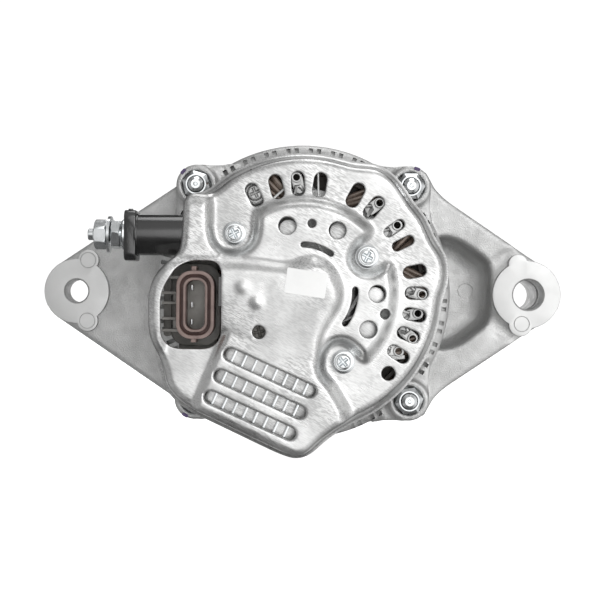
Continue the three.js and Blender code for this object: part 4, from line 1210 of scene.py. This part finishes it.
# ---------- building ----------
def build_housing():
    piece("drive_end_frame_cast", drive_end_frame(), CAST, replaces=["drive_end_frame"], sharp=38,
          second=(MACHINED, machined_ear))
    piece("rear_frame_cast", rear_frame(), CAST, replaces=["rear_frame"], sharp=38)
    dab = plate(rounded_box((0, 7.4), 2.6, 1.3, 0.6), BOLT_REAR - 3.15, BOLT_REAR - 2.6, bevel=0.05)
    piece("paint_dabs", together(*[turned_about_y(dab, turn, (x, 0, z))
                                   for (x, z), turn in zip(BOLT_PLACES, (-20, 45, 150))]), VIOLET)
    sleeve = tube_ring(EAR_HOLE_RIGHT, EAR_HOLE_RIGHT + 1.9, 14.3, EAR_THICK - GAP, about_y(EAR_SPAN), 0.5)
    piece("ear_bush_sleeve", sleeve, STEEL, replaces=["ear_bush"])
    for i in range(len(BOLT_PLACES)):
        middle = middle_of(f"through_bolt_{i + 1}")
        place = about_y(middle.x, middle.z)
        fine(f"through_bolt_{i + 1}", through_bolt(place, 11 * i), ZINC)
        fine(f"flange_nut_{i + 1}", flange_nut(place, 17 * i), ZINC)


def middle_of(cad_name):
    """A CAD node's middle, in millimetres."""
    low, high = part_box(cad_name)
    return (low + high) / 2 / MM


def build_cover():
    piece("rear_cover_pressing", rear_cover(), SHEET, replaces=["rear_cover"], sharp=50)
    for i, ((x, z), turn) in enumerate(zip(SCREW_PLACES, (28, 62, 40))):
        fine(f"cover_screw_{i + 1}", cross_screw(x, z, COVER_RING - GAP, turn), ZINC)
    middle, back = middle_of("rating_label"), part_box("rating_label")[1].y / MM
    label = plate(rounded_box((0, 0), 15.2, 9.4, 0.5), back - 0.22, back - 0.02, bevel=0.06)
    piece("rating_label_paper", turned_about_y(label, -8, (middle.x, 0, middle.z)), PAPER,
          replaces=["rating_label"])


def build_terminal():
    fine("charging_insulator", insulator(), BLACK)
    stud = lathe([(0, 36), (2.9, 36), (2.9, 66), *threaded(TERMINAL_STUD, 66, 79.6, 1.0, 0.4, 0.6),
                  (2.2, 79.7), (2.2, 81.3), (1.9, 81.6), (0, 81.6)], 48, terminal_line)
    flange = [(3.3, 67.25), (5.9, 67.25), (6.0, 68), (5.1, 69.1), (3.3, 69.1)]
    piece("charging_flange_washer", lathe(flange, 64, terminal_line), ZINC)
    strap = block((-40, -29), (TERMINAL_Y - 2, TERMINAL_Y - 0.3), (TERMINAL_Z - 5, TERMINAL_Z + 3.2), 0.4)
    fine("charging_stud", joined(stud, strap), ZINC)
    fine("charging_inner_nut", nut(5.0, 69.3, 72.5, 3.1, terminal_line, 8), ZINC)
    fine("charging_spring_washer", split_washer(3.4, 7.0, 72.95, 1.0, terminal_line), ZINC)
    fine("charging_outer_nut", nut(5.0, 74.5, 79, 3.1, terminal_line, 26), ZINC)


def build_regulator():
    mouth, foot = SOCKET_MOUTH, -36
    piece("regulator_case", regulator_body(), REGULATOR, replaces=["regulator"])
    piece("socket_shroud", socket_shroud(), BROWN)
    # the groove takes the darker brown, which is painted shade
    piece("socket_groove", plate(socket_outline(1.2), mouth + 2.8, foot, [socket_outline(2.7)], 0.1), PAINTED_SHADE_GROOVE)
    piece("socket_lip", plate(socket_outline(2.5), mouth + 0.4, foot, [socket_outline(3.4)], 0.25), BROWN)
    # the cavity takes the paler grey, which is painted light
    piece("socket_cavity", plate(socket_outline(3.3), SOCKET_FLOOR, foot, bevel=0.3), CAVITY_PAINTED_LIGHT)
    for i, row in enumerate((1, 0, -1)):
        z = SOCKET_Z + row * SOCKET_PITCH
        outline = [(-41.5, z - 1.1), (-40.9, z - 1.1), (-40.9, z + 1.1), (-41.5, z + 1.1)]
        fine(f"socket_pin_{i + 1}", plate(rounded(outline, 0.2), mouth + 2.6, foot, bevel=0.25), ZINC)
    fine("regulator_heat_sink", heat_sink(), SHEET,
         second=(ZINC, lambda centre, normal: centre.y < FIN_TOP + 0.5))


def build_rectifier():
    fine("rectifier_plate_positive", rectifier_positive(), CAST)
    piece("rectifier_diode_lids", diode_lids(), SHEET)
    piece("stator_lead_eyes", lead_eyes(), STEEL)
    piece("stator_lead_strips", lead_strips(), CAST)
    piece("stator_leads", stator_leads(), LACQUER)
    piece("rectifier_screw", cross_screw(*polar(41.6, 116), -38.5, 25), CAST)
    piece("regulator_screw", cross_screw(-16.1, -14.9, -43.2, 12), REGULATOR)
    fine("terminal_block", terminal_block(), DARK)


def build_rotor():
    piece("shaft_fine", shaft(), STEEL, "rotor", ["rotor_shaft"])
    fine("pulley", pulley(), PULLEY_STEEL, "rotor")
    fine("pulley_washer", pulley_washer(), ZINC, "rotor")
    fine("pulley_nut", nut(11.0, PULLEY_FRONT + 2.8, PULLEY_FRONT + 11.8, 7.1, about_y(), 12), ZINC, "rotor")
    spacer = tube_ring(8.5, 12.5, BEARING_FRONT_END - 1.2, PULLEY_REAR - GAP, bevel=0.4)
    fine("shaft_spacer", spacer, STEEL, "rotor")
    fine("front_fan", fan(ROTOR_FRONT + GAP, 1), STEEL, "rotor")
    fine("rear_fan", fan(ROTOR_REAR - GAP, -1), STEEL, "rotor")
    for end, bearing in (("front", (8.5, 23.5, 34.9, 14)), ("rear", (7.5, 17.5, -33.3, 11))):
        piece(f"{end}_ball_set_fine", ball_set(*bearing), STEEL, f"{end}_ball_set", [f"{end}_bearing_balls"])


def build_inside():
    fine("stator_winding", stator_winding(), COPPER)
    for name, y in (("inner", -39.6), ("outer", -45)):
        spring = piece(f"brush_spring_{name}_wire", spring_wire(y), STEEL, replaces=[f"brush_spring_{name}"])
        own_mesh(spring)


KEPT = {
    STEEL: ["front_bearing_outer_race", "front_bearing_inner_race", "rear_bearing_outer_race",
            "rear_bearing_inner_race", "bearing_retainer"],
    ZINC: ["retainer_screw_1", "retainer_screw_2", "retainer_screw_3", "retainer_screw_4"],
    CORE: ["stator_core", "claw_pole_front", "claw_pole_rear"],
    COPPER: ["field_coil"],
    RING_COPPER: ["slip_ring_inner", "slip_ring_outer"],
    BLACK: ["slip_ring_hub", "brush_holder"],
    CARBON: ["brush_inner", "brush_outer"],
    CAST: ["rectifier_plate_negative"],
}


def finish_kept_nodes():
    """Gives the CAD nodes that stay their materials."""
    for material, names in KEPT.items():
        for name in names:
            node_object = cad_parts[name]
            node_object.data.materials.clear()
            node_object.data.materials.append(material)


# ---------- studio ----------
CAMERA_PLACE, CAMERA_ROLL, CAMERA_LENS, CAMERA_SENSOR = (-0.0010, -0.533, -0.0029), -0.5, 78.5, 36
FLOOR_REACH, FLOOR_GAP, FLOOR_GLOW = 9, 0.0004, 0.95
LAMPS = [("key", (0.5, -1.0, 0.45), 0.35, 1.2), ("top", (0.2, 0.3, 1.4), 1.0, 6)]  # place, size and power
WORLD_BASE = 0.08
SOFTBOXES = [
    # direction, cosines at which it begins and is full, brightness
    ((0, 1, 0), 0.90, 0.95, 1.0),
    ((0.30, -1, 0.12), 0.82, 0.955, 1.10),
    ((0.2, -1, 0.1), 0.68, 0.95, 0.22),
    ((0.7, -0.8, -0.3), 0.75, 0.95, 0.3),
    ((0.1, -0.8, 0.8), 0.60, 0.98, 0.26),
    ((1, -0.3, -0.1), 0.45, 0.95, 0.75),
    ((-1, -0.3, -0.1), 0.45, 0.95, 0.3),
    ((0.1, -0.3, 1), 0.45, 0.95, 0.3),
]


def studio_world():
    """A dark studio with soft white boxes: one behind the object fills the camera's view."""
    world = bpy.data.worlds.new("studio")
    bpy.context.scene.world = world
    world.use_nodes = True
    place = node(world, "TexCoord").outputs["Generated"]
    total = node(world, "Value").outputs[0]
    total.default_value = WORLD_BASE
    for direction, begin, full, brightness in SOFTBOXES:
        facing = node(world, "VectorMath", {"operation": "DOT_PRODUCT"})
        world.node_tree.links.new(place, facing.inputs[0])
        facing.inputs[1].default_value = Vector(direction).normalized()
        glow = ramp(world, facing.outputs["Value"], 0, brightness, begin, full)
        plus = node(world, "Math", {"operation": "ADD"})
        world.node_tree.links.new(total, plus.inputs[0])
        world.node_tree.links.new(glow, plus.inputs[1])
        total = plus.outputs[0]
    background = world.node_tree.nodes["Background"]
    world.node_tree.links.new(total, background.inputs["Strength"])
    background.inputs["Color"].default_value = (1, 1, 1, 1)


def lamp(name, place, size, power):
    data = bpy.data.lights.new(name, "AREA")
    data.size = size
    data.energy = power
    made = added(name, data)
    made.location = place
    made.rotation_euler = (-Vector(place)).to_track_quat("-Z", "Y").to_euler()


def studio():
    """A lit white floor that metal doesn't mirror, the world and the lamps."""
    bpy.context.scene.view_settings.view_transform = "Standard"
    studio_world()
    mesh = bpy.data.meshes.new("floor")
    corners = [(sx * FLOOR_REACH, sy * FLOOR_REACH, 0) for sx, sy in ((-1, -1), (1, -1), (1, 1), (-1, 1))]
    mesh.from_pydata(corners, [], [(0, 1, 2, 3)])
    material = finish("floor", "", grey(0.88), grey(0.9), (0.8, 0.9), 0.0, 200)
    shader = material.node_tree.nodes["Principled BSDF"]
    shader.inputs["Emission Color"].default_value = (1, 1, 1, 1)
    shader.inputs["Emission Strength"].default_value = FLOOR_GLOW
    mesh.materials.append(material)
    floor = added("floor", mesh)
    floor.location.z = cad_box[0].z - FLOOR_GAP
    floor.visible_glossy = False
    for settings in LAMPS:
        lamp(*settings)


def camera():
    data = bpy.data.cameras.new("camera")
    data.lens = CAMERA_LENS
    data.sensor_width = CAMERA_SENSOR
    made = added("camera", data)
    made.matrix_world = (Matrix.Translation(CAMERA_PLACE)
                         @ Matrix.Rotation(math.radians(CAMERA_ROLL), 4, "Y")
                         @ Matrix.Rotation(math.radians(90), 4, "X"))
    bpy.context.scene.camera = made


camera()
studio()
build_housing()
build_cover()
build_terminal()
build_regulator()
build_rectifier()
build_rotor()
build_inside()
finish_kept_nodes()
